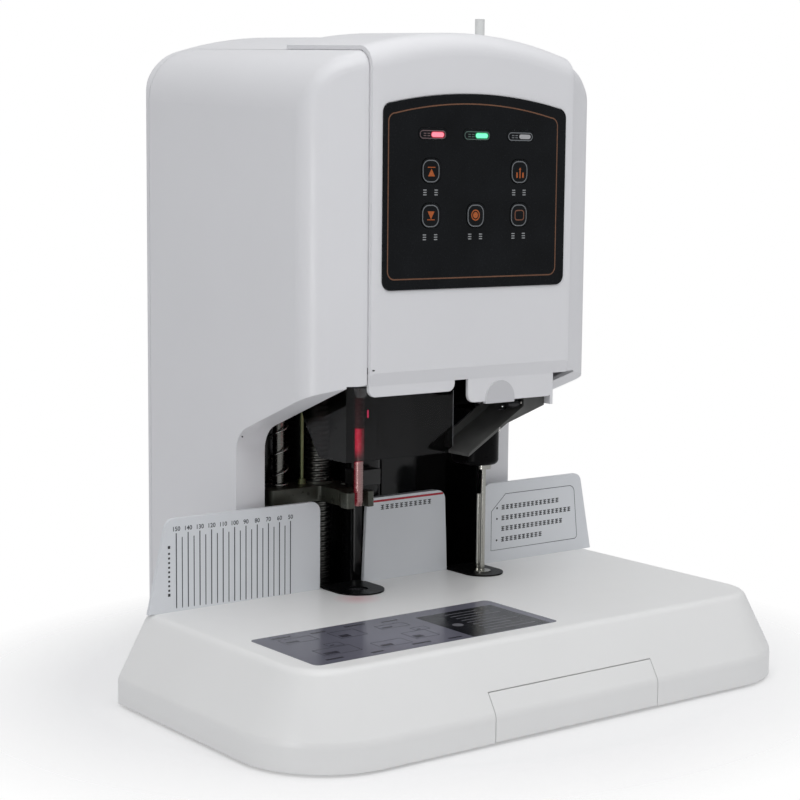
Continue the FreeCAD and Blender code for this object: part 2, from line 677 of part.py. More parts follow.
def make_rear_fittings():
    inlet = joined(
        "inlet_shell",
        pad(new_body("inlet_rim_body"), "y", "casing_rear", "0.001+bezel_proud-0.001",
            centred("inlet_across", "inlet_height", "inlet_half+inlet_rim",
                    "inlet_rise+inlet_rim", "inlet_rim")),
        pad(new_body("inlet_box"), "y", "casing_rear-inlet_deep", "inlet_deep",
            centred("inlet_across", "inlet_height", "inlet_half-panel_gap",
                    "inlet_rise-panel_gap", "inlet_rim-panel_gap")))
    socket = pad(new_body("inlet_socket"), "y", "casing_rear-inlet_deep+4", "inlet_deep",
                 centred("inlet_across", "inlet_height", "inlet_half-4", "inlet_rise-3", "3"))
    pins = [block(f"inlet_pin_{n}", (f"inlet_across+{dx}-1", "casing_rear-inlet_deep+2",
                                     f"inlet_height+{dz}-2"),
                  (f"inlet_across+{dx}+1", "casing_rear-3", f"inlet_height+{dz}+2"))
            for n, (dx, dz) in enumerate(((-7, -2), (0, 2), (7, -2)))]
    inlet_done = joined("inlet_done", carved("inlet_hollow", inlet, socket), *pins)

    gap = "panel_gap"
    frame = joined(
        "rocker_frame",
        pad(new_body("rocker_bezel"), "y", "casing_rear", "bezel_proud",
            centred("rocker_across", "inlet_height", "rocker_half+2", "rocker_rise+2", "1.5")),
        pad(new_body("rocker_box"), "y", "casing_rear-inlet_deep", "inlet_deep",
            centred("rocker_across", "inlet_height", f"rocker_half-{gap}",
                    f"rocker_rise-{gap}", "0.5")))
    hollow = block("rocker_hollow", ("rocker_across-rocker_half+1.5", "casing_rear-14",
                                     "inlet_height-rocker_rise+1.5"),
                   ("rocker_across+rocker_half-1.5", "casing_rear+10",
                    "inlet_height+rocker_rise-1.5"))
    keep("power_inlet", grouped("power_inlet", inlet_done,
                                carved("switch_frame", frame, hollow)))
    rocker = pad(new_body("rocker_body"), "x", "rocker_across-rocker_half+2", "2*rocker_half-4", [
        ("casing_rear-4", "inlet_height-3"), ("casing_rear-4", "inlet_height+3"),
        ("casing_rear-4", "inlet_height+rocker_rise-3"),
        ("casing_rear+rocker_proud", "inlet_height+rocker_rise-3"),
        ("casing_rear+0.4", "inlet_height"),
        ("casing_rear+rocker_proud-1.2", "inlet_height-rocker_rise+3"),
        ("casing_rear-4", "inlet_height-rocker_rise+3")][::-1])
    keep("rocker_switch", rocker)

    heads = [carved(f"casing_screw_{n}",
                    rod(f"screw_disc_{n}", (x, "casing_rear-screw_sink", z), "screw_sink-0.2",
                        "screw_head", "y"),
                    block(f"screw_slot_{n}", (f"{x}-0.5", "casing_rear-1", f"{z}-2"),
                          (f"{x}+0.5", "casing_rear+1", f"{z}+2")))
             for n, (x, z) in enumerate(SCREWS)]
    keep("casing_screws", grouped("casing_screws", *heads))


# ---------------------------------------------------------------- control panel

KEYS = {
    "raise_key": ("key_left", "key_upper"),
    "press_key": ("key_right", "key_upper"),
    "lower_key": ("key_left", "key_lower"),
    "punch_key": ("key_centre", "key_lower"),
    "reset_key": ("key_right", "key_lower"),
}
LAMP_SPOTS = ["key_left+1", "key_centre", "key_right"]


def panel_body(name, grow, back, lift):
    """Plate with an arched top; its front face lies on the panel face less a lift."""
    half, low = f"(panel_half+{grow})", f"(panel_bottom-{grow})"
    side, apex = f"(panel_side_top+{grow})", f"(panel_apex+{grow})"
    turn = "panel_round"
    rise = f"({apex}-{side})"
    arch = f"(({half}-{turn})^2+{rise}^2)/(2*{rise})"
    front = f"panel_face-{lift}"
    return pad(new_body(name), "y", front, f"({back})-({front})", [
        (f"{turn}-{half}", low), (f"{half}-{turn}", low, turn), (half, f"{low}+{turn}"),
        (half, f"{side}-{turn}", turn), (f"{half}-{turn}", side, arch),
        (f"{turn}-{half}", side, turn), (f"-{half}", f"{side}-{turn}"),
        (f"-{half}", f"{low}+{turn}", turn)])


def key_cut(name, number, x, z):
    half = "(key_half+key_gap)"
    return pad(new_body(f"{name}_cut_{number}"), "y", "panel_face-5", "20",
               centred(x, z, half, half, "key_round"))


def make_controls():
    panel = panel_body("panel_plate", "0", "panel_face+panel_thick", 0)
    cuts = [key_cut("panel_key", n, x, z) for n, (x, z) in enumerate(KEYS.values())]
    for n, x in enumerate(LAMP_SPOTS):
        cuts.append(pad(new_body(f"lamp_window_{n}"), "y", "panel_face-5", "20", centred(
            x, "lamp_height", "lamp_half+lamp_gap", "lamp_rise+lamp_gap", "lamp_rise-0.2")))
    keep("control_panel", carved("control_panel", panel, *cuts))
    for label, (x, z) in KEYS.items():
        keep(label, pad(new_body(f"{label}_cap"), "y", "panel_face-key_proud", "key_depth",
                        centred(x, z, "key_half", "key_half", "key_round")))
    lenses = [pad(new_body(f"lamp_lens_{n}"), "y", "panel_face-lamp_proud",
                  "panel_thick+lamp_proud", centred(x, "lamp_height", "lamp_half", "lamp_rise",
                                                    "lamp_rise-0.2"))
              for n, x in enumerate(LAMP_SPOTS)]
    keep("indicator_lenses", grouped("indicator_lenses", *lenses))

    face = "cover_back+board_stand"
    board = block("key_board", ("-board_half", face, "board_low"),
                  ("board_half", f"{face}+board_thick", "board_high"))
    switches = [block(f"key_switch_{n}", (f"{x}-switch_half", f"{face}-switch_deep",
                                          f"{z}-switch_half"),
                      (f"{x}+switch_half", face, f"{z}+switch_half"))
                for n, (x, z) in enumerate(KEYS.values())]
    studs = [rod(f"board_stud_{n}", (f"{sx}(board_half-6)", "cover_back", z), "board_stand",
                 "stud_radius", "y")
             for n, (sx, z) in enumerate((s, h) for s in ("-", "")
                                         for h in ("board_low+6", "board_high-6"))]
    keep("control_board", joined("control_board", board, *switches, *studs))


# ---------------------------------------------------------------- deck

def stop_plate(label, outline, foot_left, foot_right):
    plate = pad(new_body(f"{label}_sheet"), "y", "stop_face", "stop_thick", outline)
    soften(plate, "stop_round", lambda edge: along_y(edge) and at_stop_top(edge))
    foot = block(f"{label}_foot", (foot_left, "stop_face+stop_thick", "deck_top"),
                 (foot_right, "stop_face+stop_foot", "deck_top+stop_foot_thick"))
    return joined(label, plate, foot)


def along_y(edge):
    return edge.BoundBox.XLength < 0.01 and edge.BoundBox.ZLength < 0.01


def at_stop_top(edge):
    return edge.CenterOfMass.z > value("deck_top") + 20


def make_deck_pieces():
    keep("left_stop_plate", stop_plate("left_stop_plate", [
        ("left_stop_low", "deck_top"), ("left_stop_end", "deck_top"),
        ("left_stop_end", "left_stop_top"), ("left_stop_high", "left_stop_top")],
        "left_stop_low+6", "left_stop_end-6"))
    middle = stop_plate("middle_stop", [
        ("middle_stop_start", "deck_top"), ("middle_stop_end", "deck_top"),
        ("middle_stop_end-middle_stop_lean", "stop_top"),
        ("middle_stop_start+middle_stop_lean", "stop_top")],
        "middle_stop_start+6", "middle_stop_end-6")
    fold = block("middle_stop_fold", ("middle_stop_start+middle_stop_lean+stop_round",
                                      "stop_face+stop_thick", "stop_top-2"),
                 ("middle_stop_end-middle_stop_lean-stop_round", "stop_face+stop_foot",
                  "stop_top"))
    keep("middle_stop_plate", joined("middle_stop_plate", middle, fold))
    keep("right_stop_plate", stop_plate("right_stop_plate", [
        ("right_stop_start", "deck_top"), ("right_stop_low", "deck_top"),
        ("right_stop_high", "stop_top"), ("right_stop_start", "stop_top")],
        "right_stop_start+6", "right_stop_low-6"))

    for kind, (across, along, radius) in STATIONS.items():
        body = pad(new_body(f"{kind}_insert"), "z", "deck_top-station_depth",
                   "station_depth+station_proud",
                   station_outline(across, along, radius, "0", "platform_rear"))
        pad(body, "z", "deck_top", "station_proud",
            station_outline(across, along, radius, "station_rim", "stop_face-0.5"))
        if kind == "drill":
            pocket(body, "z", "deck_top-station_depth+1", "30",
                   (across, along, "pad_radius+fit_gap"))
            pocket(body, "z", "deck_top-station_depth-1", "30", (across, along, "chip_radius"))
        else:
            pocket(body, "z", "deck_top-station_depth-1", "30",
                   (across, along, "die_radius+fit_gap"))
        keep(f"{kind}_station_insert", body)
    pad_bottom = "deck_top-station_depth+1"
    keep("cutting_pad", carved(
        "cutting_pad",
        rod("pad_disc", ("drill_across", "drill_along", pad_bottom), "pad_thick", "pad_radius"),
        rod("pad_hole", ("drill_across", "drill_along", f"{pad_bottom}-1"), "pad_thick+5",
            "bit_radius+0.5")))
    die_bottom = "deck_top-station_depth"
    keep("lower_die", carved(
        "lower_die",
        rod("die_body", ("rivet_across", "rivet_along", die_bottom),
            "station_depth+station_proud+die_proud", "die_radius"),
        rod("die_hole", ("rivet_across", "rivet_along", f"{die_bottom}-1"), "40",
            "mandrel_radius+station_gap")))
    keep("guide_post", rod("guide_post", ("post_across", "post_along",
                                          "deck_top+station_proud"),
                           "post_top-deck_top-station_proud", "post_radius"))


# ---------------------------------------------------------------- frame

def make_frame():
    outline = [
        ("frame_column", "plate_top"), ("frame_rear", "plate_top"), ("frame_rear", "frame_top"),
        ("bridge_front", "frame_top"), ("bridge_front", "arm_top"), ("frame_nose", "arm_top"),
        ("frame_nose", "head_bottom"), ("frame_column", "head_bottom")]
    plates = [pad(new_body(f"{side}_frame_plate"), "x", start, "frame_thick", outline)
              for side, start in (("left", "-frame_inner-frame_thick"),
                                  ("right", "frame_inner"))]
    keep("frame_plates", grouped("frame_plates", *plates))

    head = pad(new_body("head_plate_body"), "z", "head_bottom", "head_top-head_bottom",
               rectangle("-frame_inner", "frame_nose", "frame_inner", "frame_rear"))
    pocket(head, "z", "head_bottom-1", "head_top-head_bottom+2",
           ("left_rod", "rod_along", "rod_radius+fit_gap"),
           ("drill_across", "rod_along", "journal_radius+fit_gap"),
           ("sensor_across", "rod_along", "sensor_radius+sensor_gap"),
           ("drill_across", "drill_along", "spindle_hole"),
           ("rivet_across", "rivet_along", "ram_radius+ram_gap"),
           ("drill_across", "feed_along", "journal_radius+fit_gap"),
           ("rivet_across", "feed_along", "journal_radius+fit_gap"),
           ("tube_across", "pipe_along", "pipe_clear"))
    keep("head_plate", head)

    bridge = pad(new_body("bridge_body"), "z", "bridge_bottom", "frame_top-bridge_bottom",
                 rectangle("-frame_inner", "bridge_front", "frame_inner", "frame_rear"))
    journal = "journal_radius+fit_gap"
    pocket(bridge, "z", "bridge_bottom-1", "20",
           ("drill_across", "rod_along", journal), ("drill_across", "feed_along", journal),
           ("rivet_across", "feed_along", journal))
    keep("bridge_plate", bridge)

    back = block("liner_back_wall", ("-liner_half", "liner_back", "plate_top"),
                 ("liner_half", "liner_back+liner_thick", "head_bottom"))
    sides = [block(f"liner_side_{name}", (start, "liner_front", "plate_top"),
                   (f"{start}+liner_thick", "liner_back", "head_bottom"))
             for name, start in (("left", "-liner_half"), ("right", "liner_half-liner_thick"))]
    pilaster = rod("liner_pilaster", ("pilaster_across", "pilaster_along", "plate_top"),
                   "head_bottom-plate_top", "pilaster_radius")
    web = block("pilaster_web", ("pilaster_across-3", "pilaster_along", "plate_top"),
                ("pilaster_across+3", "liner_back", "head_bottom"))
    keep("throat_liner", joined("throat_liner", back, *sides, pilaster, web))

    rods = [rod("long_rod", ("left_rod", "rod_along", "plate_top"), "bridge_bottom-plate_top",
                "rod_radius")]
    for number, x in enumerate(("right_rod", "rivet_across-rivet_rod_span",
                                "rivet_across+rivet_rod_span")):
        rods.append(rod(f"short_rod_{number}", (x, "rod_along", "head_top"),
                        "bridge_bottom-head_top", "rod_radius"))
    keep("guide_rods", grouped("guide_rods", *rods))


def bearing(name, x, y, bottom, hole):
    return carved(name, block(f"{name}_block", (f"{x}-bearing_half", f"{y}-bearing_half", bottom),
                              (f"{x}+bearing_half", f"{y}+bearing_half",
                               f"{bottom}+bearing_rise")),
                  rod(f"{name}_bore", (x, y, f"{bottom}-1"), "bearing_rise+2",
                      f"{hole}+fit_gap"))


# ---------------------------------------------------------------- press arm

def screw_shaft(name, x, y, bottom, top, radius, end_bottom, end_top):
    """Lead screw at its outer diameter, with a thinner journal at each end."""
    return joined(name, rod(f"{name}_thread", (x, y, bottom), f"({top})-({bottom})", radius),
                  rod(f"{name}_journal", (x, y, end_bottom), f"({end_top})-({end_bottom})",
                      "journal_radius"))


def make_press():
    arm = new_body("press_arm_body")
    tip = "(drill_along-fork_reach)"
    root = "(drill_along+fork_start)"
    left, right = "(drill_across-{0})", "(drill_across+{0})"
    pad(arm, "z", "arm_bottom", "arm_thick", [
        ("arm_left", "arm_front"), (left.format("neck_half"), "arm_front"),
        (left.format("neck_half"), root), (left.format("fork_outer"), f"{root}-8"),
        (left.format("fork_outer"), tip), (left.format("fork_inner"), tip),
        (left.format("fork_inner"), "drill_along", "-fork_inner"),
        ("drill_across", "drill_along+fork_inner", "-fork_inner"),
        (right.format("fork_inner"), "drill_along"), (right.format("fork_inner"), tip),
        (right.format("fork_outer"), tip), (right.format("fork_outer"), f"{root}-8"),
        (right.format("neck_half"), root), (right.format("neck_half"), "arm_front"),
        ("arm_right", "arm_front"), ("arm_right", "arm_back"), ("arm_left", "arm_back")])
    soften(arm, "3", upright_outer)
    pad(arm, "z", "arm_bottom+arm_thick", "nut_rise",
        ("drill_across", "rod_along", "nut_radius"))
    pocket(arm, "z", "arm_bottom-1", "arm_thick+nut_rise+5",
           ("drill_across", "rod_along", "screw_radius+fit_gap"))
    pocket(arm, "z", "arm_bottom-1", "arm_thick+5", ("left_rod", "rod_along",
                                                     "rod_radius+fit_gap"))
    keep("press_arm", arm)

    rest_bottom = "(arm_bottom+arm_thick+rest_gap)"
    keep("arm_rest", carved(
        "arm_rest",
        joined("rest_blank",
               block("rest_block", ("rest_left", "rest_front", rest_bottom),
                     ("rest_right", "rest_back", f"{rest_bottom}+rest_rise")),
               block("rest_bracket", ("rest_right-8", "rest_front+8", f"{rest_bottom}+2"),
                     ("rest_right+6", "rest_web", f"{rest_bottom}+rest_rise-2"))),
        rod("rest_seat", ("pilaster_across", "pilaster_along", f"{rest_bottom}-5"),
            "rest_rise+10", "pilaster_radius+fit_gap")))

    helix = doc.addObject("Part::Helix", "coil_line")
    place(helix, "left_rod", "rod_along", "arm_bottom+arm_thick+wire_radius+0.3")
    bind(helix, Pitch="coil_pitch", Radius="coil_radius",
         Height="head_bottom-arm_bottom-arm_thick-2*wire_radius-0.6")
    ring = doc.addObject("Part::Circle", "coil_section")
    ring.Placement = FreeCAD.Placement(
        FreeCAD.Vector(), FreeCAD.Rotation(FreeCAD.Vector(1, 0, 0), 90))
    place(ring, "left_rod+coil_radius", "rod_along", "arm_bottom+arm_thick+wire_radius+0.3")
    bind(ring, Radius="wire_radius")
    coil = doc.addObject("Part::Sweep", "coil_sweep")
    coil.Sections = [ring]
    coil.Spine = (helix, ["Edge1"])
    coil.Solid = True
    coil.Frenet = True
    keep("press_spring", coil)

    keep("sensor_rod", joined(
        "sensor_rod",
        rod("sensor_wire", ("sensor_across", "rod_along", "arm_bottom+arm_thick"),
            "sensor_top-arm_bottom-arm_thick", "sensor_radius"),
        rod("sensor_nut", ("sensor_across", "rod_along", "arm_bottom+arm_thick"), "4", "3.2")))

    foot_bearing, under_head = "plate_top", "(head_bottom-bearing_rise)"
    keep("lead_screw", screw_shaft("lead_screw", "drill_across", "rod_along",
                                   "plate_top+bearing_rise", "head_bottom", "screw_radius",
                                   "plate_top+1", "frame_top-0.2"))
    keep("screw_bearings", grouped(
        "screw_bearings",
        bearing("press_foot_bearing", "drill_across", "rod_along", foot_bearing,
                "journal_radius"),
        bearing("feed_foot_bearing", "drill_across", "feed_along", under_head,
                "journal_radius"),
        bearing("rivet_foot_bearing", "rivet_across", "feed_along", under_head,
                "journal_radius")))
    motors = [pad(new_body(f"{name}_motor"), "z", "frame_top", "motor_rise",
                  centred(x, y, "motor_half", "motor_half", "4"))
              for name, x, y in (("press", "drill_across", "rod_along"),
                                 ("feed", "drill_across", "feed_along"),
                                 ("rivet", "rivet_across", "feed_along"))]
    keep("screw_motors", grouped("screw_motors", *motors))


def upright_outer(edge):
    """Vertical corners of the arm's outline, without those inside the fork."""
    spot = edge.CenterOfMass
    inside = abs(spot.x - value("drill_across")) < value("fork_inner") + 0.5
    return upright(edge) and not inside


# ---------------------------------------------------------------- drill head

def make_drill_head():
    plate = pad(new_body("drill_carriage_body"), "z", "drill_plate_bottom",
                "drill_plate_thick", rounded("drill_plate_left", "drill_plate_front",
                                             "drill_plate_right", "drill_plate_back", "8"))
    top = "drill_plate_bottom+drill_plate_thick"
    pad(plate, "z", top, f"housing_top-({top})", ("drill_across", "drill_along",
                                                  "housing_radius"))
    rod_bore = "rod_radius+fit_gap"
    pocket(plate, "z", "drill_plate_bottom-1", "drill_plate_thick+2",
           ("left_rod", "rod_along", rod_bore), ("right_rod", "rod_along", rod_bore),
           ("drill_across", "rod_along", "screw_clear"),
           ("drill_across", "feed_along", "feed_radius+fit_gap"),
           ("sensor_across", "rod_along", "sensor_radius+sensor_gap"))
    pocket(plate, "z", "drill_plate_bottom-1", "housing_top-drill_plate_bottom+2",
           ("drill_across", "drill_along", "spindle_radius+fit_gap"))
    keep("drill_carriage", plate)

    spindle = joined(
        "spindle_blank",
        rod("spindle_shaft", ("drill_across", "drill_along", "chuck_top"),
            "spindle_top-chuck_top", "spindle_radius"),
        rod("chuck_barrel", ("drill_across", "drill_along", "chuck_bottom+8"),
            "chuck_top-chuck_bottom-8", "chuck_radius"),
        cone("chuck_nose", ("drill_across", "drill_along", "chuck_bottom"), "8",
             "bit_radius+3", "chuck_radius"))
    keep("drill_spindle", carved("drill_spindle", spindle,
                                 rod("chuck_bore", ("drill_across", "drill_along",
                                                    "chuck_bottom-1"),
                                     "grip_depth+1", "bit_radius+fit_gap")))
    bit = joined("bit_blank",
                 rod("bit_tube", ("drill_across", "drill_along", "bit_tip+3"),
                     "chuck_bottom+grip_depth-bit_tip-3", "bit_radius"),
                 cone("bit_edge", ("drill_across", "drill_along", "bit_tip"), "3",
                      "bit_bore+0.15", "bit_radius"))
    keep("drill_bit", carved("drill_bit", bit,
                             rod("bit_hollow", ("drill_across", "drill_along", "bit_tip-1"),
                                 "chuck_bottom-bit_tip+1", "bit_bore")))
    keep("drill_motor", joined(
        "drill_motor",
        rod("drill_motor_can", ("drill_across", "drill_along", "housing_top+4"),
            "drill_motor_rise-4", "drill_motor_radius"),
        rod("drill_motor_flange", ("drill_across", "drill_along", "housing_top"), "4",
            "housing_radius")))
    keep("feed_screw", screw_shaft("feed_screw", "drill_across", "feed_along",
                                   "head_top", "bridge_bottom", "feed_radius",
                                   "head_bottom-bearing_rise+1", "frame_top-0.2"))


def cone(name, start, length, low_radius, high_radius):
    item = doc.addObject("Part::Cone", name)
    place(item, *start)
    bind(item, Height=length, Radius1=low_radius, Radius2=high_radius)
    return item


# ---------------------------------------------------------------- rivet head

def make_rivet_head():
    axis = ("rivet_across", "rivet_along")
    block_body = pad(new_body("rivet_head_body"), "z", "head_low", "head_high-head_low",
                     rounded("head_left", "head_front", "head_right", "head_back",
                             "head_round"))
    soften(block_body, "4", lambda edge: abs(edge.BoundBox.ZMax - value("head_low")) < 0.01)
    pocket(block_body, "z", "head_low-1", "head_high-head_low+2",
           (*axis, "mandrel_radius+station_gap"), ("post_across", "post_along", "post_clear"))
    pocket(block_body, "z", "head_low-1", "upper_die_seat+1",
           (*axis, "upper_die_radius+fit_gap"))
    keep("rivet_head", block_body)
    keep("upper_die", carved(
        "upper_die",
        rod("upper_die_blank", (*axis, "head_low-upper_die_drop"),
            "upper_die_drop+upper_die_seat", "upper_die_radius"),
        rod("upper_die_hole", (*axis, "head_low-upper_die_drop-1"), "60",
            "mandrel_radius+station_gap")))

    plate = pad(new_body("rivet_carriage_body"), "z", "rivet_plate_bottom",
                "rivet_plate_thick", rounded("rivet_plate_left", "rivet_plate_front",
                                             "rivet_plate_right", "rivet_plate_back", "6"))
    pad(plate, "z", "head_high", "rivet_plate_bottom-head_high", (*axis, "ram_radius"))
    pocket(plate, "z", "head_high-1", "post_relief+1", ("post_across", "post_along", "post_clear"))
    rod_bore = "rod_radius+fit_gap"
    pocket(plate, "z", "rivet_plate_bottom-1", "rivet_plate_thick+2",
           ("rivet_across-rivet_rod_span", "rod_along", rod_bore),
           ("rivet_across+rivet_rod_span", "rod_along", rod_bore),
           ("rivet_across", "feed_along", "feed_radius+fit_gap"))
    pocket(plate, "z", "head_high-1", "rivet_plate_bottom+rivet_plate_thick-head_high+2",
           (*axis, "ram_bore"))
    keep("rivet_carriage", plate)
    keep("rivet_mandrel", joined(
        "rivet_mandrel",
        rod("mandrel_shank", (*axis, "mandrel_bottom+4"), "mandrel_top-mandrel_bottom-4",
            "mandrel_radius"),
        cone("mandrel_point", (*axis, "mandrel_bottom"), "4", "0.8", "mandrel_radius")))
    keep("mandrel_lifter", carved(
        "mandrel_lifter",
        rod("lifter_coil", (*axis, "rivet_plate_bottom+rivet_plate_thick"), "lifter_rise",
            "lifter_radius"),
        rod("lifter_bore", (*axis, "rivet_plate_bottom"), "100", "ram_bore")))
    keep("rivet_screw", screw_shaft("rivet_screw", "rivet_across", "feed_along",
                                    "head_top", "bridge_bottom", "feed_radius",
                                    "head_bottom-bearing_rise+1", "frame_top-0.2"))


# ---------------------------------------------------------------- tube feed

def make_tube_feed():
    axis = ("tube_across", "tube_along")
    keep("nylon_tube", carved(
        "nylon_tube",
        rod("tube_wall", (*axis, "feeder_bottom"), "tube_top-feeder_bottom", "tube_radius"),
        rod("tube_hollow", (*axis, "feeder_bottom-1"), "tube_top-feeder_bottom+2", "tube_bore")))
    body = block("feeder_block", ("feeder_left", "feeder_front", "feeder_bottom"),
                 ("frame_inner", "feeder_back", "feeder_top"))
    centre = "tube_along-roller_wide/2"
    ears = [block(f"feeder_ear_{name}", ("feeder_left-ear_reach", y, "feeder_top"),
                  ("ear_right", f"{y}+ear_thick", "ear_top"))
            for name, y in (("front", f"{centre}-1-ear_thick"),
                            ("back", "tube_along+roller_wide/2+1"))]
    bores = [rod(f"axle_bore_{name}", (x, "feeder_front-5", "roller_height"), "50",
                 "axle_radius+fit_gap", "y") for name, x in ROLLERS.items()]
    hole = rod("feeder_hole", (*axis, "feeder_bottom-1"), "60", "tube_radius+station_gap")
    slot = block("blade_slot", ("feeder_left-1", "tube_along-8.3", "blade_high-0.3"),
                 ("tube_across+8", "tube_along+8.3", "blade_high+blade_thick+0.3"))
    feeder = carved("feeder_cut", joined("feeder_blank", body, *ears), *bores, hole, slot)
    keep("tube_feeder", grouped("tube_feeder", feeder, drop_pipe()))
    for name, x in ROLLERS.items():
        wheel = rod(f"{name}_tyre", (x, centre, "roller_height"), "roller_wide",
                    "roller_radius", "y")
        axle = rod(f"{name}_axle", (x, f"{centre}-1-ear_thick", "roller_height"),
                   "roller_wide+2+2*ear_thick", "axle_radius", "y")
        keep(name, joined(name, wheel, axle))
    keep("cutter_blade", block("cutter_blade", ("feeder_left-14", "tube_along-8",
                                                "blade_high"),
                               ("tube_across-tube_radius-0.6", "tube_along+8",
                                "blade_high+blade_thick")))


ROLLERS = {
    "drive_roller": "tube_across-tube_radius-roller_radius-roller_gap",
    "pinch_roller": "tube_across+tube_radius+roller_radius+roller_gap",
}


def drop_pipe():
    """Bent pipe that leads a cut length of tube forward and down to the chute."""
    def spine_point(along, height):
        return FreeCAD.Vector(value("tube_across"), value(along), value(height))
    top = spine_point("tube_along", "feeder_bottom-0.2")
    knee_high = spine_point("tube_along", "feeder_bottom-14")
    knee_low = spine_point("pipe_along", "pipe_knee")
    foot = spine_point("pipe_along", "pipe_bottom")
    path = Part.Wire([
        Part.makeLine(top, knee_high), Part.makeLine(knee_high, knee_low),
        Part.makeLine(knee_low, foot)])

    def swept(radius):
        section = Part.Wire(Part.makeCircle(value(radius), top, UP))
        return path.makePipeShell([section], True, False, 2)
    item = doc.addObject("Part::Feature", "drop_pipe")
    item.Shape = swept("pipe_radius").cut(swept("pipe_bore"))
    return item


# ---------------------------------------------------------------- chute, guard, laser

def make_throat_pieces():
    rise = "(({0})-chute_low)*tan(chute_lean)"
    right = "(right_flap_end-flap_thick-seam_gap)"
    high_top = f"chute_low_top+{rise.format(right)}"
    thick = "(chute_thick/cos(chute_lean))"
    floor = pad(new_body("chute_floor"), "y", "chute_front", "chute_back-chute_front", [
        ("chute_low", f"chute_low_top-{thick}"), (right, f"{high_top}-{thick}"),
        (right, high_top), ("chute_low", "chute_low_top")])
    inside = "chute_low_top-chute_thick/2+{0}"
    cheek = pad(new_body("chute_cheek"), "y", "chute_front", "chute_thick", [
        ("cheek_left", inside.format(rise.format("cheek_left"))), (right, "cheek_right_low"),
        (right, "cheek_top"), ("cheek_step", "cheek_top"),
        ("cheek_step", inside.format(rise.format("cheek_step")))])
    wall = pad(new_body("chute_wall"), "y", "chute_back-chute_thick", "chute_thick", [
        ("chute_low", "chute_low_top-1"), (right, f"{high_top}-1"),
        (right, f"{high_top}+chute_wall_rise"), ("chute_low", "chute_low_top+chute_wall_rise")])
    hanger = block("chute_hanger", (f"{right}-hanger_wide", "chute_back-chute_thick",
                                    f"{high_top}-8"), (right, "chute_back", "head_bottom"))
    corner = block("chute_corner", ("chute_low-10", "guard_front-seam_gap", "chute_low_top-50"),
                   ("guard_right+seam_gap", "chute_back+10", "head_bottom"))
    keep("tube_chute", carved("tube_chute", joined("chute_blank", floor, cheek, wall, hanger),
                              corner))

    front = block("guard_front_sheet", ("guard_left", "guard_front", "guard_bottom"),
                  ("guard_right", "guard_front+guard_thick", "head_bottom"))
    side = pad(new_body("guard_side_sheet"), "x", "guard_left", "guard_thick", [
        ("guard_front", "guard_bottom"), ("guard_step", "guard_bottom"),
        ("guard_notch", "guard_notch_top"), ("guard_back", "guard_rise"),
        ("guard_back", "head_bottom"), ("guard_front", "head_bottom")])
    keep("smoked_guard", joined("smoked_guard", front, side))
    keep("laser_module", joined(
        "laser_module",
        rod("laser_barrel", ("laser_across", "laser_along", "head_bottom-laser_drop"),
            "laser_drop", "laser_radius"),
        rod("laser_collar", ("laser_across", "laser_along", "head_bottom-8"), "8",
            "laser_radius+2")))


# ---------------------------------------------------------------- electrics

def make_electrics():
    face = "-frame_inner+main_board_stand"
    board = block("main_board_sheet", (face, "main_board_front", "main_board_low"),
                  (f"{face}+board_thick", "main_board_back", "main_board_high"))
    studs = [rod(f"main_stud_{n}", ("-frame_inner", y, z), "main_board_stand", "stud_radius",
                 "x")
             for n, (y, z) in enumerate((y, z) for y in ("main_board_front+6",
                                                         "main_board_back-6")
                                        for z in ("main_board_low+6", "main_board_high-6"))]
    chips = [block(f"main_chip_{n}", (f"{face}+board_thick", f"main_board_front+{y}",
                                      f"main_board_low+{z}"),
                   (f"{face}+board_thick+2", f"main_board_front+{y}+{w}",
                    f"main_board_low+{z}+{w}"))
             for n, (y, z, w) in enumerate(((14, 14, 18), (14, 50, 12), (40, 60, 16),
                                            (20, 88, 14), (44, 20, 10)))]
    keep("main_board", joined("main_board", board, *studs, *chips))
    keep("power_supply", block("power_supply", ("supply_left", "supply_front", "plate_top"),
                               ("supply_right", "supply_back", "supply_top")))


# ---------------------------------------------------------------- write

def check_document():
    """Stop before anything is written if an object failed or a piece is not sound."""
    doc.recompute()
    for item in doc.Objects:
        if "Invalid" in item.State or "Error" in item.State:
            raise RuntimeError(f"{item.Name} failed: {item.State}")
    for label, item in pieces.items():
        shape = item.Shape
        if shape.isNull() or not shape.isValid() or not shape.Solids:
            raise RuntimeError(f"{label} has no sound shape")


def write_pieces():
    os.makedirs("parts", exist_ok=True)
    for label, item in pieces.items():
        item.Shape.exportStep(f"parts/{label}.step")
        box = item.Shape.BoundBox
        print(f"{label:24s} solids {len(item.Shape.Solids)}  "
              f"x {box.XMin:7.1f} {box.XMax:7.1f}  y {box.YMin:7.1f} {box.YMax:7.1f}  "
              f"z {box.ZMin:7.1f} {box.ZMax:7.1f}")
    print(len(pieces), "pieces")


sizes = fill_sheet()
make_platform()
make_bottom_plate()
make_casing()
make_rear_fittings()
make_controls()
make_deck_pieces()
make_frame()
make_press()
make_drill_head()
make_rivet_head()
make_tube_feed()
make_throat_pieces()
make_electrics()
check_document()
write_pieces()
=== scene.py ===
"""Looks of the paper drilling and riveting machine: finishes, fine detail, light and camera."""

import math

import bmesh
import bpy
from mathutils import Matrix, Vector
from mathutils.bvhtree import BVHTree


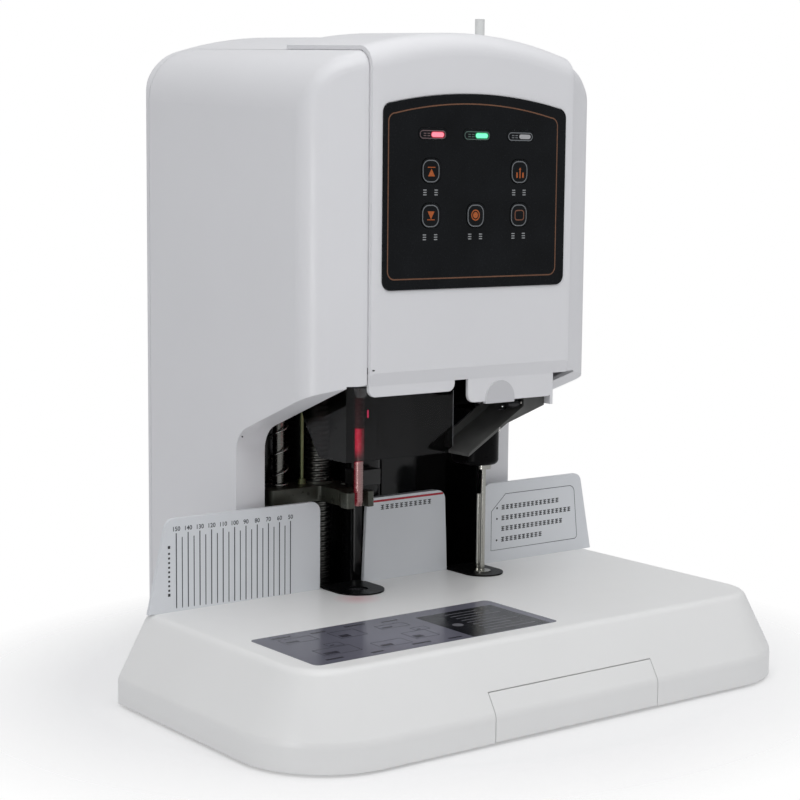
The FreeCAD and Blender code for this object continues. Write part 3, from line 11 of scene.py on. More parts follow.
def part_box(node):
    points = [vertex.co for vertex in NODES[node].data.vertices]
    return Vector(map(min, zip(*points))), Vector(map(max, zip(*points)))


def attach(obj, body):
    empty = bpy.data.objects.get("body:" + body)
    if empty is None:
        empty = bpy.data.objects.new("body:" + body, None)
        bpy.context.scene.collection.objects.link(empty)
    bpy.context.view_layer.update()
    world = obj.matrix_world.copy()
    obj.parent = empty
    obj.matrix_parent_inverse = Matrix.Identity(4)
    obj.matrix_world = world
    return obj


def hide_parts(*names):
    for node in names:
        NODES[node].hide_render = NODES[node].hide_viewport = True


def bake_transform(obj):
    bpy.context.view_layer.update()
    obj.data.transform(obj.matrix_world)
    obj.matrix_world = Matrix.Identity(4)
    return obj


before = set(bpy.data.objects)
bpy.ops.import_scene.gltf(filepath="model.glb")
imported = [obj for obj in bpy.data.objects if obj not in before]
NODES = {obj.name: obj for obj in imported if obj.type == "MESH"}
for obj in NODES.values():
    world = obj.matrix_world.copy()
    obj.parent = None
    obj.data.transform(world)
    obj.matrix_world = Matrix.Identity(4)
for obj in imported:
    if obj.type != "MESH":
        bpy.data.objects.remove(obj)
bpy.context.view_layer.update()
MM = 0.001
TURN = 2 * math.pi

# Faces that carry print, in millimetres: Y of those that look forward, Z of the deck.
PANEL_FACE = -66.7
KEY_FACE = PANEL_FACE - 0.4
LAMP_FACE = PANEL_FACE - 0.2
CAP_FACE = -63.5
GUARD_FACE = -31.5
STOP_FACE = 38.5
DECK_FACE = 65
PRINT_LIFT = 0.05


# ---------------------------------------------------------------- materials

class Paint:
    """A node material: one principled shader and helpers that feed it."""

    def __init__(self, name, colour, rough, metallic=0.0, **sockets):
        self.material = bpy.data.materials.new(name)
        self.material.use_nodes = True
        self.tree = self.material.node_tree
        self.tree.nodes.clear()
        out = self.tree.nodes.new("ShaderNodeOutputMaterial")
        self.shader = self.tree.nodes.new("ShaderNodeBsdfPrincipled")
        self.surface = out.inputs["Surface"]
        self.tree.links.new(self.shader.outputs["BSDF"], self.surface)
        self.shader.inputs["Base Color"].default_value = (*colour, 1)
        self.shader.inputs["Roughness"].default_value = rough
        self.shader.inputs["Metallic"].default_value = metallic
        for socket, value in sockets.items():
            self.shader.inputs[socket.replace("_", " ")].default_value = value
        coords = self.tree.nodes.new("ShaderNodeTexCoord")
        self.coords = coords.outputs["Object"]
        self.colour, self.rough = colour, rough
        self.normal = None

    def reckoned(self, operation, first, second, third=0.0):
        """Result of a math node; each operand is a number or an output socket."""
        node = self.tree.nodes.new("ShaderNodeMath")
        node.operation = operation
        for socket, value in zip(node.inputs, (first, second, third)):
            if isinstance(value, float):
                socket.default_value = value
            else:
                self.tree.links.new(value, socket)
        return node.outputs[0]

    def stretched(self, x, y, z):
        """Object coordinates, stretched by a factor along each axis."""
        mapping = self.tree.nodes.new("ShaderNodeMapping")
        mapping.inputs["Scale"].default_value = (x, y, z)
        self.tree.links.new(self.coords, mapping.inputs["Vector"])
        return mapping.outputs["Vector"]

    def noise(self, scale, detail, coords):
        node = self.tree.nodes.new("ShaderNodeTexNoise")
        node.inputs["Scale"].default_value = scale
        node.inputs["Detail"].default_value = detail
        self.tree.links.new(coords or self.coords, node.inputs["Vector"])
        return node.outputs["Fac"]

    def ranged(self, factor, low, high, start=0.3, end=0.7):
        """A span of the factor mapped to a span from low to high."""
        node = self.tree.nodes.new("ShaderNodeMapRange")
        for socket, value in (("From Min", start), ("From Max", end),
                              ("To Min", low), ("To Max", high)):
            node.inputs[socket].default_value = value
        self.tree.links.new(factor, node.inputs["Value"])
        return node.outputs["Result"]

    def mixed(self, factor, first, second):
        """Blend of two colours; each is a tuple or an output socket."""
        node = self.tree.nodes.new("ShaderNodeMix")
        node.data_type = "RGBA"
        self.tree.links.new(factor, node.inputs["Factor"])
        for socket, value in ((node.inputs[6], first), (node.inputs[7], second)):
            if isinstance(value, tuple):
                socket.default_value = (*value, 1)
            else:
                self.tree.links.new(value, socket)
        return node.outputs[2]

    def tint(self, scale, amount, detail=3.0):
        """Colour drifts by a share of itself over patches."""
        dark = tuple(c * (1 - amount) for c in self.colour)
        light = tuple(min(c * (1 + amount), 1) for c in self.colour)
        factor = self.ranged(self.noise(scale, detail, None), 0, 1)
        self.tree.links.new(self.mixed(factor, dark, light), self.shader.inputs["Base Color"])
        return self

    def uneven(self, scale, amount, detail=2.0, coords=None):
        """Roughness drifts up and down."""
        factor = self.noise(scale, detail, coords)
        value = self.ranged(factor, max(self.rough - amount, 0.02), self.rough + amount)
        self.tree.links.new(value, self.shader.inputs["Roughness"])
        return self

    def grain(self, scale, depth, detail=2.0, coords=None):
        """Fine relief, with its depth in metres."""
        node = self.tree.nodes.new("ShaderNodeBump")
        node.inputs["Strength"].default_value = 1
        node.inputs["Distance"].default_value = depth
        self.tree.links.new(self.noise(scale, detail, coords), node.inputs["Height"])
        if self.normal:
            self.tree.links.new(self.normal, node.inputs["Normal"])
        self.normal = node.outputs["Normal"]
        self.tree.links.new(self.normal, self.shader.inputs["Normal"])
        return self

    def eased(self, radius):
        """Edges catch the light as if rounded by this radius."""
        node = self.tree.nodes.new("ShaderNodeBevel")
        node.samples = 4
        node.inputs["Radius"].default_value = radius
        self.normal = node.outputs["Normal"]
        self.tree.links.new(self.normal, self.shader.inputs["Normal"])
        return self


def glow(name, colour, strength):
    """Lit plastic: a coloured lens with light behind it; it also makes the painted red spot of
    the pointer's beam on the guard.
    """
    paint = Paint(name, colour, 0.3)
    paint.shader.inputs["Emission Color"].default_value = (*colour, 1)
    paint.shader.inputs["Emission Strength"].default_value = strength
    return paint.uneven(900, 0.05)


def lathe_marks(paint):
    """Turned metal: fine rings round a vertical axis."""
    rings = paint.stretched(30, 30, 2600)
    return paint.grain(1, 0.00002, 1, rings).uneven(1, 0.06, 1, rings)


PAINTS = {}
# Pointer's beam on the deck: centre and reach of its painted red light, in millimetres; the
# second colour below is the painted red-lit white at its centre.
WASH_SPOT, WASH_REACH = (-60, -4), 20
# First colour: deck and base white, lighter than the casing's: partly the base's own white,
# partly painted light on the deck where the head shades it.
BASE_WHITE, BEAM_LIT_WHITE = (0.875, 0.875, 0.868), (0.90, 0.64, 0.66)


def make_casing_paints():
    PAINTS["casing"] = (Paint("casing_paint", (0.80, 0.80, 0.82), 0.36)
                        .eased(0.0009).tint(9, 0.012).uneven(60, 0.05)
                        .grain(1500, 0.000006))
    PAINTS["seam"] = (Paint("seam_paint", (0.76, 0.76, 0.78), 0.4)
                      .tint(9, 0.012).uneven(60, 0.05))
    # Base shell and drawer: the lighter base white, partly painted light for the shaded deck.
    PAINTS["base"] = (Paint("base_plastic", BASE_WHITE, 0.34)
                      .eased(0.0009).tint(9, 0.01).uneven(60, 0.05)
                      .grain(1500, 0.000005))
    PAINTS["plate"] = (Paint("plate_paint", (0.78, 0.80, 0.83), 0.33)
                       .eased(0.0005).tint(14, 0.015).uneven(90, 0.05)
                       .grain(1800, 0.000005))
    PAINTS["cap"] = (Paint("cap_paint", (0.62, 0.62, 0.64), 0.4).tint(9, 0.012)
                     .uneven(60, 0.05))
    PAINTS["beam_wash"] = wash_paint()


def make_panel_paints():
    PAINTS["panel"] = (Paint("panel_acrylic", (0.0062, 0.0070, 0.0082), 0.26,
                             Specular_IOR_Level=0.12)
                       .tint(30, 0.25).uneven(420, 0.03, 4))
    PAINTS["key"] = (Paint("key_film", (0.0064, 0.0071, 0.0083), 0.28,
                           Specular_IOR_Level=0.12)
                     .tint(160, 0.2).uneven(700, 0.05, 3).grain(2600, 0.000003))


def make_print_paints():
    PAINTS["ring"] = Paint("grey_print", (0.16, 0.17, 0.18), 0.5).tint(700, 0.08)
    # Pale print for the key ticks; the same paint also makes the painted highlight along the
    # guard's right edge.
    PAINTS["mark"] = Paint("pale_print_and_painted_highlight", (0.30, 0.31, 0.32), 0.5).tint(700, 0.08)
    PAINTS["icon"] = Paint("orange_print", (0.42, 0.095, 0.014), 0.45).tint(700, 0.12)
    PAINTS["dim_icon"] = Paint("dim_orange_print", (0.19, 0.07, 0.035), 0.45).tint(700, 0.12)
    PAINTS["copper"] = Paint("copper_print", (0.17, 0.072, 0.035), 0.4).tint(500, 0.12)
    PAINTS["ink"] = Paint("grey_ink", (0.05, 0.054, 0.066), 0.55).tint(900, 0.15)
    PAINTS["black_ink"] = Paint("black_ink", (0.025, 0.026, 0.03), 0.5).tint(900, 0.15)
    PAINTS["red_ink"] = Paint("red_ink", (0.48, 0.012, 0.028), 0.42).tint(900, 0.08)
    PAINTS["red_ring"] = Paint("red_ring_print", (0.14, 0.09, 0.095), 0.5).tint(700, 0.08)
    PAINTS["green_ring"] = Paint("green_ring_print", (0.07, 0.12, 0.10), 0.5).tint(700, 0.08)
    PAINTS["label"] = (Paint("label_film", (0.155, 0.155, 0.195), 0.16)
                       .tint(7, 0.28, 2).uneven(50, 0.04))
    PAINTS["label_dark"] = (Paint("label_block", (0.016, 0.017, 0.021), 0.18)
                            .tint(30, 0.15).uneven(80, 0.05))
    PAINTS["label_line"] = Paint("label_lines", (0.045, 0.045, 0.06), 0.25).tint(90, 0.2)
    PAINTS["label_pale"] = Paint("label_pale_lines", (0.17, 0.17, 0.19), 0.3).tint(90, 0.2)


def make_lamp_paints():
    PAINTS["red_lamp"] = glow("red_lamp", (0.92, 0.20, 0.26), 0.85)
    PAINTS["green_lamp"] = glow("green_lamp", (0.16, 0.90, 0.45), 0.85)
    PAINTS["red_halo"] = glow("red_halo", (0.30, 0.02, 0.035), 0.5)
    PAINTS["green_halo"] = glow("green_halo", (0.012, 0.20, 0.085), 0.6)
    PAINTS["white_lamp"] = glow("white_lamp", (1.0, 1.0, 1.0), 1.5)
    # Painted red spot of the pointer's beam on the guard.
    PAINTS["beam_spot"] = glow("beam_spot", (0.42, 0.012, 0.06), 0.5)
    PAINTS["dull_lamp"] = Paint("unlit_lamp", (0.42, 0.42, 0.43), 0.35).uneven(900, 0.05)


def make_dark_paints():
    PAINTS["black_gloss"] = (Paint("black_gloss", (0.005, 0.005, 0.0055), 0.12,
                                   Specular_IOR_Level=0.3)
                             .tint(40, 0.2).uneven(200, 0.04, 3)
                             .grain(700, 0.000004))
    PAINTS["station"] = (Paint("station_lining", (0.004, 0.004, 0.0043), 0.3,
                               Specular_IOR_Level=0.06)
                         .tint(40, 0.2).uneven(200, 0.04, 3).grain(700, 0.000004))
    PAINTS["black_satin"] = (Paint("black_satin", (0.016, 0.016, 0.016), 0.38)
                             .eased(0.0006).tint(60, 0.2).uneven(300, 0.06)
                             .grain(1500, 0.00001))
    PAINTS["chute"] = (Paint("chute_paint", (0.085, 0.086, 0.083), 0.38)
                       .eased(0.0004).tint(60, 0.15).uneven(240, 0.06)
                       .grain(1600, 0.000008))
    PAINTS["black_plastic"] = (Paint("black_plastic", (0.02, 0.02, 0.022), 0.45)
                               .eased(0.0004).tint(200, 0.15).grain(2000, 0.000012))
    PAINTS["rubber"] = (Paint("rubber", (0.022, 0.022, 0.022), 0.62)
                        .tint(150, 0.25, 4).grain(1800, 0.00003))
    smoked = Paint("smoked_acrylic", (0.15, 0.15, 0.155), 0.06, Transmission_Weight=1.0,
                   IOR=1.3, Specular_IOR_Level=0.3)
    PAINTS["smoked"] = smoked.uneven(300, 0.02, 4)


def make_metal_paints():
    PAINTS["arm"] = (Paint("arm_phosphate", (0.075, 0.078, 0.062), 0.34, 0.35)
                     .eased(0.0008).tint(70, 0.22, 5).uneven(160, 0.09, 5)
                     .grain(900, 0.00001, 3))
    PAINTS["steel"] = lathe_marks(Paint("ground_steel", (0.66, 0.655, 0.64), 0.16, 1.0)
                                  .eased(0.0003))
    PAINTS["post"] = lathe_marks(Paint("post_steel", (0.40, 0.395, 0.36), 0.2, 1.0)
                                 .eased(0.0003))
    PAINTS["dark_post"] = lathe_marks(Paint("guide_rod_steel", (0.17, 0.17, 0.155), 0.26, 1.0)
                                      .eased(0.0003))
    PAINTS["screw"] = lathe_marks(Paint("screw_steel", (0.12, 0.12, 0.11), 0.3, 1.0)
                                  .eased(0.0003).tint(120, 0.3, 4))
    PAINTS["spring"] = Paint("spring_wire", (0.50, 0.50, 0.47), 0.25, 1.0).tint(300, 0.2)
    PAINTS["zinc"] = (Paint("zinc_plate", (0.60, 0.61, 0.62), 0.34, 1.0)
                      .eased(0.0004).tint(26, 0.12, 5).uneven(90, 0.08, 5))
    PAINTS["sensor"] = (Paint("sensor_rod_plate", (0.22, 0.245, 0.12), 0.4, 0.6)
                        .tint(140, 0.15).uneven(300, 0.06))
    PAINTS["aluminium"] = (Paint("milled_aluminium", (0.62, 0.63, 0.64), 0.32, 1.0)
                           .eased(0.0005).grain(1, 0.00001).tint(60, 0.06))
    PAINTS["bit"] = drill_paint()


def make_inner_paints():
    PAINTS["nylon"] = (Paint("nylon", (0.74, 0.75, 0.74), 0.3)
                       .tint(60, 0.03).uneven(200, 0.05))
    PAINTS["board"] = (Paint("solder_mask", (0.02, 0.13, 0.05), 0.3)
                       .tint(120, 0.2).uneven(400, 0.08).grain(500, 0.00001))


def wash_paint():
    """The deck's own white, with the pointer's red light painted round the spot where its beam
    lands.
    """
    wash = Paint("beam_wash", BASE_WHITE, 0.34).uneven(60, 0.05)
    away = wash.tree.nodes.new("ShaderNodeVectorMath")
    away.operation = "DISTANCE"
    wash.tree.links.new(wash.coords, away.inputs[0])
    away.inputs[1].default_value = Vector((*WASH_SPOT, DECK_FACE)) * MM
    share = wash.ranged(away.outputs["Value"], 0.0, 1.0, 0.0, WASH_REACH * MM)
    wash.tree.links.new(wash.mixed(share, BEAM_LIT_WHITE, BASE_WHITE),
                        wash.shader.inputs["Base Color"])
    return wash


# Painted red light of the pointer's beam on the drill bit: rise and end of the red, and the span
# in X over which the bright side gives way to painted shade.
BEAM_RISE, BEAM_END, BEAM_SIDE = (168, 176), (190.5, 191.5), (-45.2, -42.5)
# Strength of the painted red glow in the beam, the faint painted glow left over the whole bit,
# and the share kept on the painted shaded side.
BEAM_GLOW, BEAM_REST, SHADED_SHARE = 3.2, 0.12, 0.18


def drill_paint():
    """Ground steel with the pointer's red beam painted on as glow, most of all above the guard's
    edge, and painted shade on the side away from the light.
    """
    paint = lathe_marks(Paint("drill_steel", (0.30, 0.22, 0.21), 0.25, 0.8))
    split = paint.tree.nodes.new("ShaderNodeSeparateXYZ")
    paint.tree.links.new(paint.coords, split.inputs[0])
    height, across = split.outputs["Z"], split.outputs["X"]
    lit = paint.ranged(height, 0.0, 1.0, *(z * MM for z in BEAM_RISE))
    end = paint.ranged(height, 1.0, 0.0, *(z * MM for z in BEAM_END))
    side = paint.ranged(across, 1.0, SHADED_SHARE, *(x * MM for x in BEAM_SIDE))
    both = paint.reckoned("MULTIPLY", lit, end)
    level = paint.reckoned("MULTIPLY_ADD", both, BEAM_GLOW, BEAM_REST)
    paint.shader.inputs["Emission Color"].default_value = (0.75, 0.012, 0.055, 1)
    paint.tree.links.new(paint.reckoned("MULTIPLY", level, side),
                         paint.shader.inputs["Emission Strength"])
    return paint


def make_paints():
    make_casing_paints()
    make_panel_paints()
    make_print_paints()
    make_lamp_paints()
    make_dark_paints()
    make_metal_paints()
    make_inner_paints()


FINISH = {
    "casing": ["left_side_shell", "right_side_shell", "rear_cover", "front_cover"],
    "base": ["base_shell", "chip_drawer"],
    "plate": ["left_stop_plate", "middle_stop_plate", "right_stop_plate"],
    "panel": ["control_panel", "indicator_lenses"],
    "key": ["raise_key", "press_key", "lower_key", "punch_key", "reset_key"],
    "black_gloss": ["throat_liner"],
    "station": ["drill_station_insert", "rivet_station_insert", "rivet_head"],
    "black_satin": ["arm_rest", "drill_motor", "screw_motors",
                    "mandrel_lifter", "laser_module"],
    "black_plastic": ["power_inlet", "rocker_switch", "screw_bearings", "tube_feeder",
                      "cutting_pad"],
    "chute": ["tube_chute"],
    "arm": ["press_arm"],
    "steel": ["drill_spindle"],
    "post": ["lower_die", "guide_post", "rivet_mandrel", "upper_die"],
    "dark_post": ["guide_rods"],
    "screw": ["lead_screw", "feed_screw", "rivet_screw"],
    "zinc": ["base_plate", "frame_plates", "head_plate", "bridge_plate", "casing_screws",
             "power_supply", "cutter_blade"],
    "spring": ["press_spring"],
    "sensor": ["sensor_rod"],
    "aluminium": ["drill_carriage", "rivet_carriage"],
    "nylon": ["nylon_tube"],
    "rubber": ["rubber_feet", "drive_roller", "pinch_roller"],
    "board": ["control_board", "main_board"],
    "smoked": ["smoked_guard"],
    "bit": ["drill_bit"],
}


def dress(obj, paint):
    """Give an object one finish, in every material slot."""
    material = PAINTS[paint].material
    if not obj.material_slots:
        obj.data.materials.append(material)
    for slot in obj.material_slots:
        slot.material = material


def dress_nodes():
    for paint, names in FINISH.items():
        for name in names:
            dress(NODES[name], paint)


# ---------------------------------------------------------------- mesh helpers

def linked(name, data):
    """Object with this mesh, curve, light or camera, linked to the scene."""
    obj = bpy.data.objects.new(name, data)
    bpy.context.scene.collection.objects.link(obj)
    return obj


def mesh_of(name, built, smooth=False):
    """Turn a finished bmesh into a mesh."""
    mesh = bpy.data.meshes.new(name)
    built.to_mesh(mesh)
    built.free()
    if smooth:
        mesh.shade_smooth()
    return mesh


def finished(name, mesh, body, paint):
    """Link a mesh piece, give it its finish and let it ride on a body."""
    obj = linked(name, mesh)
    dress(obj, paint)
    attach(obj, body)
    return obj


def front(depth, x=0, z=0):
    """Map a flat drawing round a centre to a face that looks along -Y, in millimetres."""
    return lambda u, v: Vector((x + u, depth, z + v)) * MM


def deck(height):
    """Map a flat drawing to a face that looks up, in millimetres."""
    return lambda u, v: Vector((u, v, height)) * MM


class Drawing:
    """Flat print in one plane, collected as one mesh."""

    def __init__(self, place):
        self.mesh = bmesh.new()
        self.place = place

    def fill(self, points):
        self.mesh.faces.new([self.mesh.verts.new(self.place(*p)) for p in points])

    def bar(self, left, low, right, high):
        self.fill([(left, low), (right, low), (right, high), (left, high)])

    def stroke(self, points, width):
        """Line of even width round a closed path."""
        count = len(points)
        rims = []
        for i, (x, y) in enumerate(points):
            before, after = points[i - 1], points[(i + 1) % count]
            ax, ay = x - before[0], y - before[1]
            bx, by = after[0] - x, after[1] - y
            la, lb = math.hypot(ax, ay) or 1, math.hypot(bx, by) or 1
            nx, ny = -(ay / la + by / lb), ax / la + bx / lb
            length = math.hypot(nx, ny) or 1
            nx, ny = nx / length * width / 2, ny / length * width / 2
            rims.append(((x - nx, y - ny), (x + nx, y + ny)))
        for (a, b), (c, d) in zip(rims, rims[1:] + rims[:1]):
            self.fill([a, c, d, b])

    def piece(self, name, body, paint):
        finished(name, mesh_of(name, self.mesh), body, paint)


def arc(x, y, radius, start, end, steps=8):
    """Points on a circle between two angles in degrees."""
    return [(x + radius * math.cos(math.radians(start + (end - start) * i / steps)),
             y + radius * math.sin(math.radians(start + (end - start) * i / steps)))
            for i in range(steps + 1)]


def round_box(left, low, right, high, radius, steps=6):
    """Rectangle with round corners, anticlockwise."""
    return (arc(right - radius, low + radius, radius, -90, 0, steps)
            + arc(right - radius, high - radius, radius, 0, 90, steps)
            + arc(left + radius, high - radius, radius, 90, 180, steps)
            + arc(left + radius, low + radius, radius, 180, 270, steps))


def disc(x, y, radius, steps=28):
    return arc(x, y, radius, 0, 360 - 360 / steps, steps - 1)


# ---------------------------------------------------------------- control panel

# Border: half width, foot, shoulder, crown and corner radius; its shift and line width.
BORDER, BORDER_SHIFT, BORDER_LINE = (79.2, 309.5, 426.5, 434.6, 6), -2.4, 0.9
CROWN_STEPS = 40
KEY_SPOTS = {"raise": (-43.2, 386.6), "press": (40.2, 386.6), "lower": (-43.2, 354.7),
             "punch": (-1.3, 354.7), "reset": (40.2, 354.7)}
TICK_SIDES, TICK_LOWS = (-5.6, 4.6), (-17.6, -15.9, -14.2)
TICK_HALF, TICK_TALL = 1.5, 0.75
LAMP_X, LAMP_Z = (-42.2, -1.3, 40.2), 412.1
# Boxes round the middle of a key or lamp: left, low, right, high and corner radius.
KEY_RING, KEY_LINE = (-7.7, -8.0, 6.7, 7.2, 5.4), 0.75
LAMP_RING, LAMP_LINE = (-11.5, -2.7, 11.5, 2.7, 2.6), 0.65
LAMP_HALO = (-1.9, -2.35, 10.7, 2.35, 2.3)
LAMP_LENS = (-1.2, -1.65, 9.8, 1.65, 1.6)
LAMP_TICK_LEFTS, LAMP_TICK_LOWS = (-8.4, -5.0), (-1.2, 0.4)
LAMP_TICK_WIDE, LAMP_TICK_TALL = 2.4, 0.7


def panel_border(half, low, side, apex, radius):
    """Outline with an arched top, anticlockwise."""
    rise = apex - side
    reach = half - radius
    arch = (reach ** 2 + rise ** 2) / (2 * rise)
    sweep = math.degrees(math.asin(reach / arch))
    return (arc(reach, low + radius, radius, -90, 0)
            + arc(reach, side - radius, radius, 0, 90 - sweep / 2)
            + arc(0, apex - arch, arch, 90 - sweep, 90 + sweep, CROWN_STEPS)
            + arc(-reach, side - radius, radius, 90 + sweep / 2, 180)
            + arc(-reach, low + radius, radius, 180, 270))


def make_panel_print():
    border = Drawing(front(PANEL_FACE - PRINT_LIFT, BORDER_SHIFT))
    border.stroke(panel_border(*BORDER), BORDER_LINE)
    border.piece("panel_border", "machine", "copper")

    marks = Drawing(front(PANEL_FACE - PRINT_LIFT))
    for x, z in KEY_SPOTS.values():
        for side in TICK_SIDES:
            for low in TICK_LOWS:
                marks.bar(x + side - TICK_HALF, z + low,
                          x + side + TICK_HALF, z + low + TICK_TALL)
    marks.piece("key_tick_marks", "machine", "mark")


# Icons, drawn round the middle of their key: bars, outlines with their width, and fills.
ICON_BARS = {
    "raise": [(-3.6, 2.0, 3.4, 2.6)],
    "lower": [(-3.6, -3.4, 3.4, -2.8)],
    "press": [(-3.7, -4.6, -2.2, -0.8), (-0.6, -5.0, 0.5, 1.4), (2.1, -4.6, 3.6, -0.8)],
}
ICON_OUTLINES = {
    "punch": (disc(-0.7, 0, 3.6), 0.9),
    "reset": (round_box(-4.2, -3.8, 4.2, 3.2, 1.8, 3), 0.8),
}
ICON_FILLS = {
    "raise": [(-3.2, -4.1), (3.0, -4.1), (-0.1, 1.4)],
    "lower": [(-0.1, -2.9), (3.0, 2.9), (-3.2, 2.9)],
    "press": [(-1.3, 1.2), (1.2, 1.2), (-0.05, 2.9)],
    "punch": disc(-0.7, 0, 2.3),
}


def make_key_print():
    """Ring and icon on the face of each key; they move with it."""
    for name, (x, z) in KEY_SPOTS.items():
        place = front(KEY_FACE - PRINT_LIFT, x, z)
        ring = Drawing(place)
        ring.stroke(round_box(*KEY_RING), KEY_LINE)
        ring.piece(f"{name}_key_ring", f"{name}_button", "ring")
        icon = Drawing(place)
        for bar in ICON_BARS.get(name, []):
            icon.bar(*bar)
        if name in ICON_OUTLINES:
            icon.stroke(*ICON_OUTLINES[name])
        if name in ICON_FILLS:
            icon.fill(ICON_FILLS[name])
        icon.piece(f"{name}_key_icon", f"{name}_button",
                   "dim_icon" if name == "reset" else "icon")


def make_lamps():
    """Rings, lenses and, where lit, a halo, each drawn round the lamp's middle."""
    looks = (("red", "red_lamp", "red_ring"), ("green", "green_lamp", "green_ring"),
             ("grey", "dull_lamp", "ring"))
    for x, (name, lit, ring_paint) in zip(LAMP_X, looks):
        place = front(LAMP_FACE - PRINT_LIFT, x, LAMP_Z)
        ring = Drawing(place)
        ring.stroke(round_box(*LAMP_RING), LAMP_LINE)
        for left in LAMP_TICK_LEFTS:
            for low in LAMP_TICK_LOWS:
                ring.bar(left, low, left + LAMP_TICK_WIDE, low + LAMP_TICK_TALL)
        ring.piece(f"{name}_lamp_ring", "machine", ring_paint)
        if name != "grey":
            halo = Drawing(place)
            halo.fill(round_box(*LAMP_HALO))
            halo.piece(f"{name}_lamp_halo", "machine", f"{name}_halo")
        lens = Drawing(front(LAMP_FACE - 2 * PRINT_LIFT, x, LAMP_Z))
        lens.fill(round_box(*LAMP_LENS))
        lens.piece(f"{name}_lamp_lens", "machine", lit)


# ---------------------------------------------------------------- stop plates

STOP_PRINT = STOP_FACE - PRINT_LIFT
RULER_START, RULER_STEP, RULER_STEPS, RULER_FIRST = -192.6, 5, 20, 150
# Top and width of the ruler's lines, their foot, and how much each falls from line to line.
LONG_LINE, SHORT_LINE, LINE_FOOT = (123.1, 0.85), (119.9, 0.75), 67.4
TOP_SLOPE, FOOT_SLOPE = 0.08, 0.12
DIGIT_SIZE, DIGIT_BOLD, DIGIT_FOOT = 4.6, 0.08, 124.7
# Column beside the ruler: a bar at each end and dots between them.
COLUMN_X, COLUMN_BARS, BAR_HALF, BAR_TALL = -198.7, (76.7, 112.1), 1.0, 2.2
DOTS, DOT_FOOT, DOT_STEP, DOT_HALF, DOT_TALL = 9, 80.4, 3.42, 0.8, 1.5
# Signs in the place of letters: three bars, each this much above the first, on a stem.
SIGN_WIDE, SIGN_RISES, STEM_WIDE = 3.2, (0, 1.5, 3.0), 0.8
# Each kind of sign: thickness of its bars, then left, low and high of its stem.
DASH_SIGN, ROW_SIGN = (0.7, 1.2, 0.1, 3.5), (0.8, 1.1, 0, 3.8)
DASHES, DASH_LEFT, DASH_LOW, DASH_PITCH = 11, -7, 121.3, 4.7
ROW_LEFT, ROW_ENDS, ROW_LOW, ROW_STEP, ROW_PITCH = 118, (166, 188, 198, 184), 81.5, 9.0, 4.6
POINT_X, POINT_RISE, POINT_RADIUS = 113, 1.7, 0.9
RED_LINE = ((-18.9, 127.6), (55.7, 127.6), (55.4, 129.3), (-18.7, 129.3))
FRAME_PATH = (arc(193, 115.5, 6, 0, 90) + [(122, 121.5), (107, 108), (107, 75)]
              + arc(200, 78, 3, -90, -10, 4))
FRAME_LINE = 0.5


def number_mesh(text, x, z):
    """Digits as a flat mesh on the stop plate's face, centred at x."""
    curve = bpy.data.curves.new("digits", "FONT")
    curve.body = text
    curve.size = DIGIT_SIZE * MM
    curve.align_x = "CENTER"
    curve.resolution_u = 3
    curve.offset = DIGIT_BOLD * MM
    obj = linked("digits", curve)
    obj.rotation_euler = (math.radians(90), 0, 0)
    obj.location = front(STOP_PRINT)(x, z)
    bpy.context.view_layer.update()
    graph = bpy.context.evaluated_depsgraph_get()
    mesh = bpy.data.meshes.new_from_object(obj.evaluated_get(graph))
    mesh.transform(obj.matrix_world)
    bpy.data.objects.remove(obj)
    return mesh


def make_ruler():
    """Line every 5 mm, number every 10 mm, and the column of dots at the left."""
    lines = Drawing(front(STOP_PRINT))
    for step in range(RULER_STEPS + 1):
        x = RULER_START + RULER_STEP * step
        top, width = SHORT_LINE if step % 2 else LONG_LINE
        lines.bar(x - width / 2, LINE_FOOT - FOOT_SLOPE * step,
                  x + width / 2, top - TOP_SLOPE * step)
    for step in range(0, RULER_STEPS + 1, 2):
        lines.mesh.from_mesh(number_mesh(str(RULER_FIRST - RULER_STEP * step),
                                         RULER_START + RULER_STEP * step,
                                         DIGIT_FOOT - TOP_SLOPE * step))
    lines.piece("stop_ruler", "machine", "ink")

    column = Drawing(front(STOP_PRINT, COLUMN_X))
    for low in COLUMN_BARS:
        column.bar(-BAR_HALF, low, BAR_HALF, low + BAR_TALL)
    for step in range(DOTS):
        low = DOT_FOOT + DOT_STEP * step
        column.bar(-DOT_HALF, low, DOT_HALF, low + DOT_TALL)
    column.piece("stop_column", "machine", "black_ink")


def sign(drawing, left, low, kind):
    """Plain mark in the place of a printed letter: three bars on a stem."""
    thick, stem_left, stem_low, stem_high = kind
    for rise in SIGN_RISES:
        drawing.bar(left, low + rise, left + SIGN_WIDE, low + rise + thick)
    drawing.bar(left + stem_left, low + stem_low,
                left + stem_left + STEM_WIDE, low + stem_high)


def make_middle_stop_print():
    """Red line along the top edge and a row of signs under it."""
    red = Drawing(front(STOP_PRINT))
    red.fill(RED_LINE)
    red.piece("middle_stop_line", "machine", "red_ink")
    dashes = Drawing(front(STOP_PRINT))
    for step in range(DASHES):
        sign(dashes, DASH_LEFT + step * DASH_PITCH, DASH_LOW, DASH_SIGN)
    dashes.piece("middle_stop_dashes", "machine", "black_ink")


def make_right_stop_print():
    """Frame line and four rows of signs, lowest first; all but the second have a round point."""
    frame_line = Drawing(front(STOP_PRINT))
    frame_line.stroke(FRAME_PATH[::-1], FRAME_LINE)
    frame_line.piece("right_stop_frame", "machine", "ink")

    rows = Drawing(front(STOP_PRINT))
    for row, end in enumerate(ROW_ENDS):
        low = ROW_LOW + row * ROW_STEP
        for step in range(int((end - ROW_LEFT) / ROW_PITCH)):
            sign(rows, ROW_LEFT + ROW_PITCH * step, low, ROW_SIGN)
        if row != 1:
            rows.fill(disc(POINT_X, low + POINT_RISE, POINT_RADIUS, 10))
    rows.piece("right_stop_rows", "machine", "black_ink")


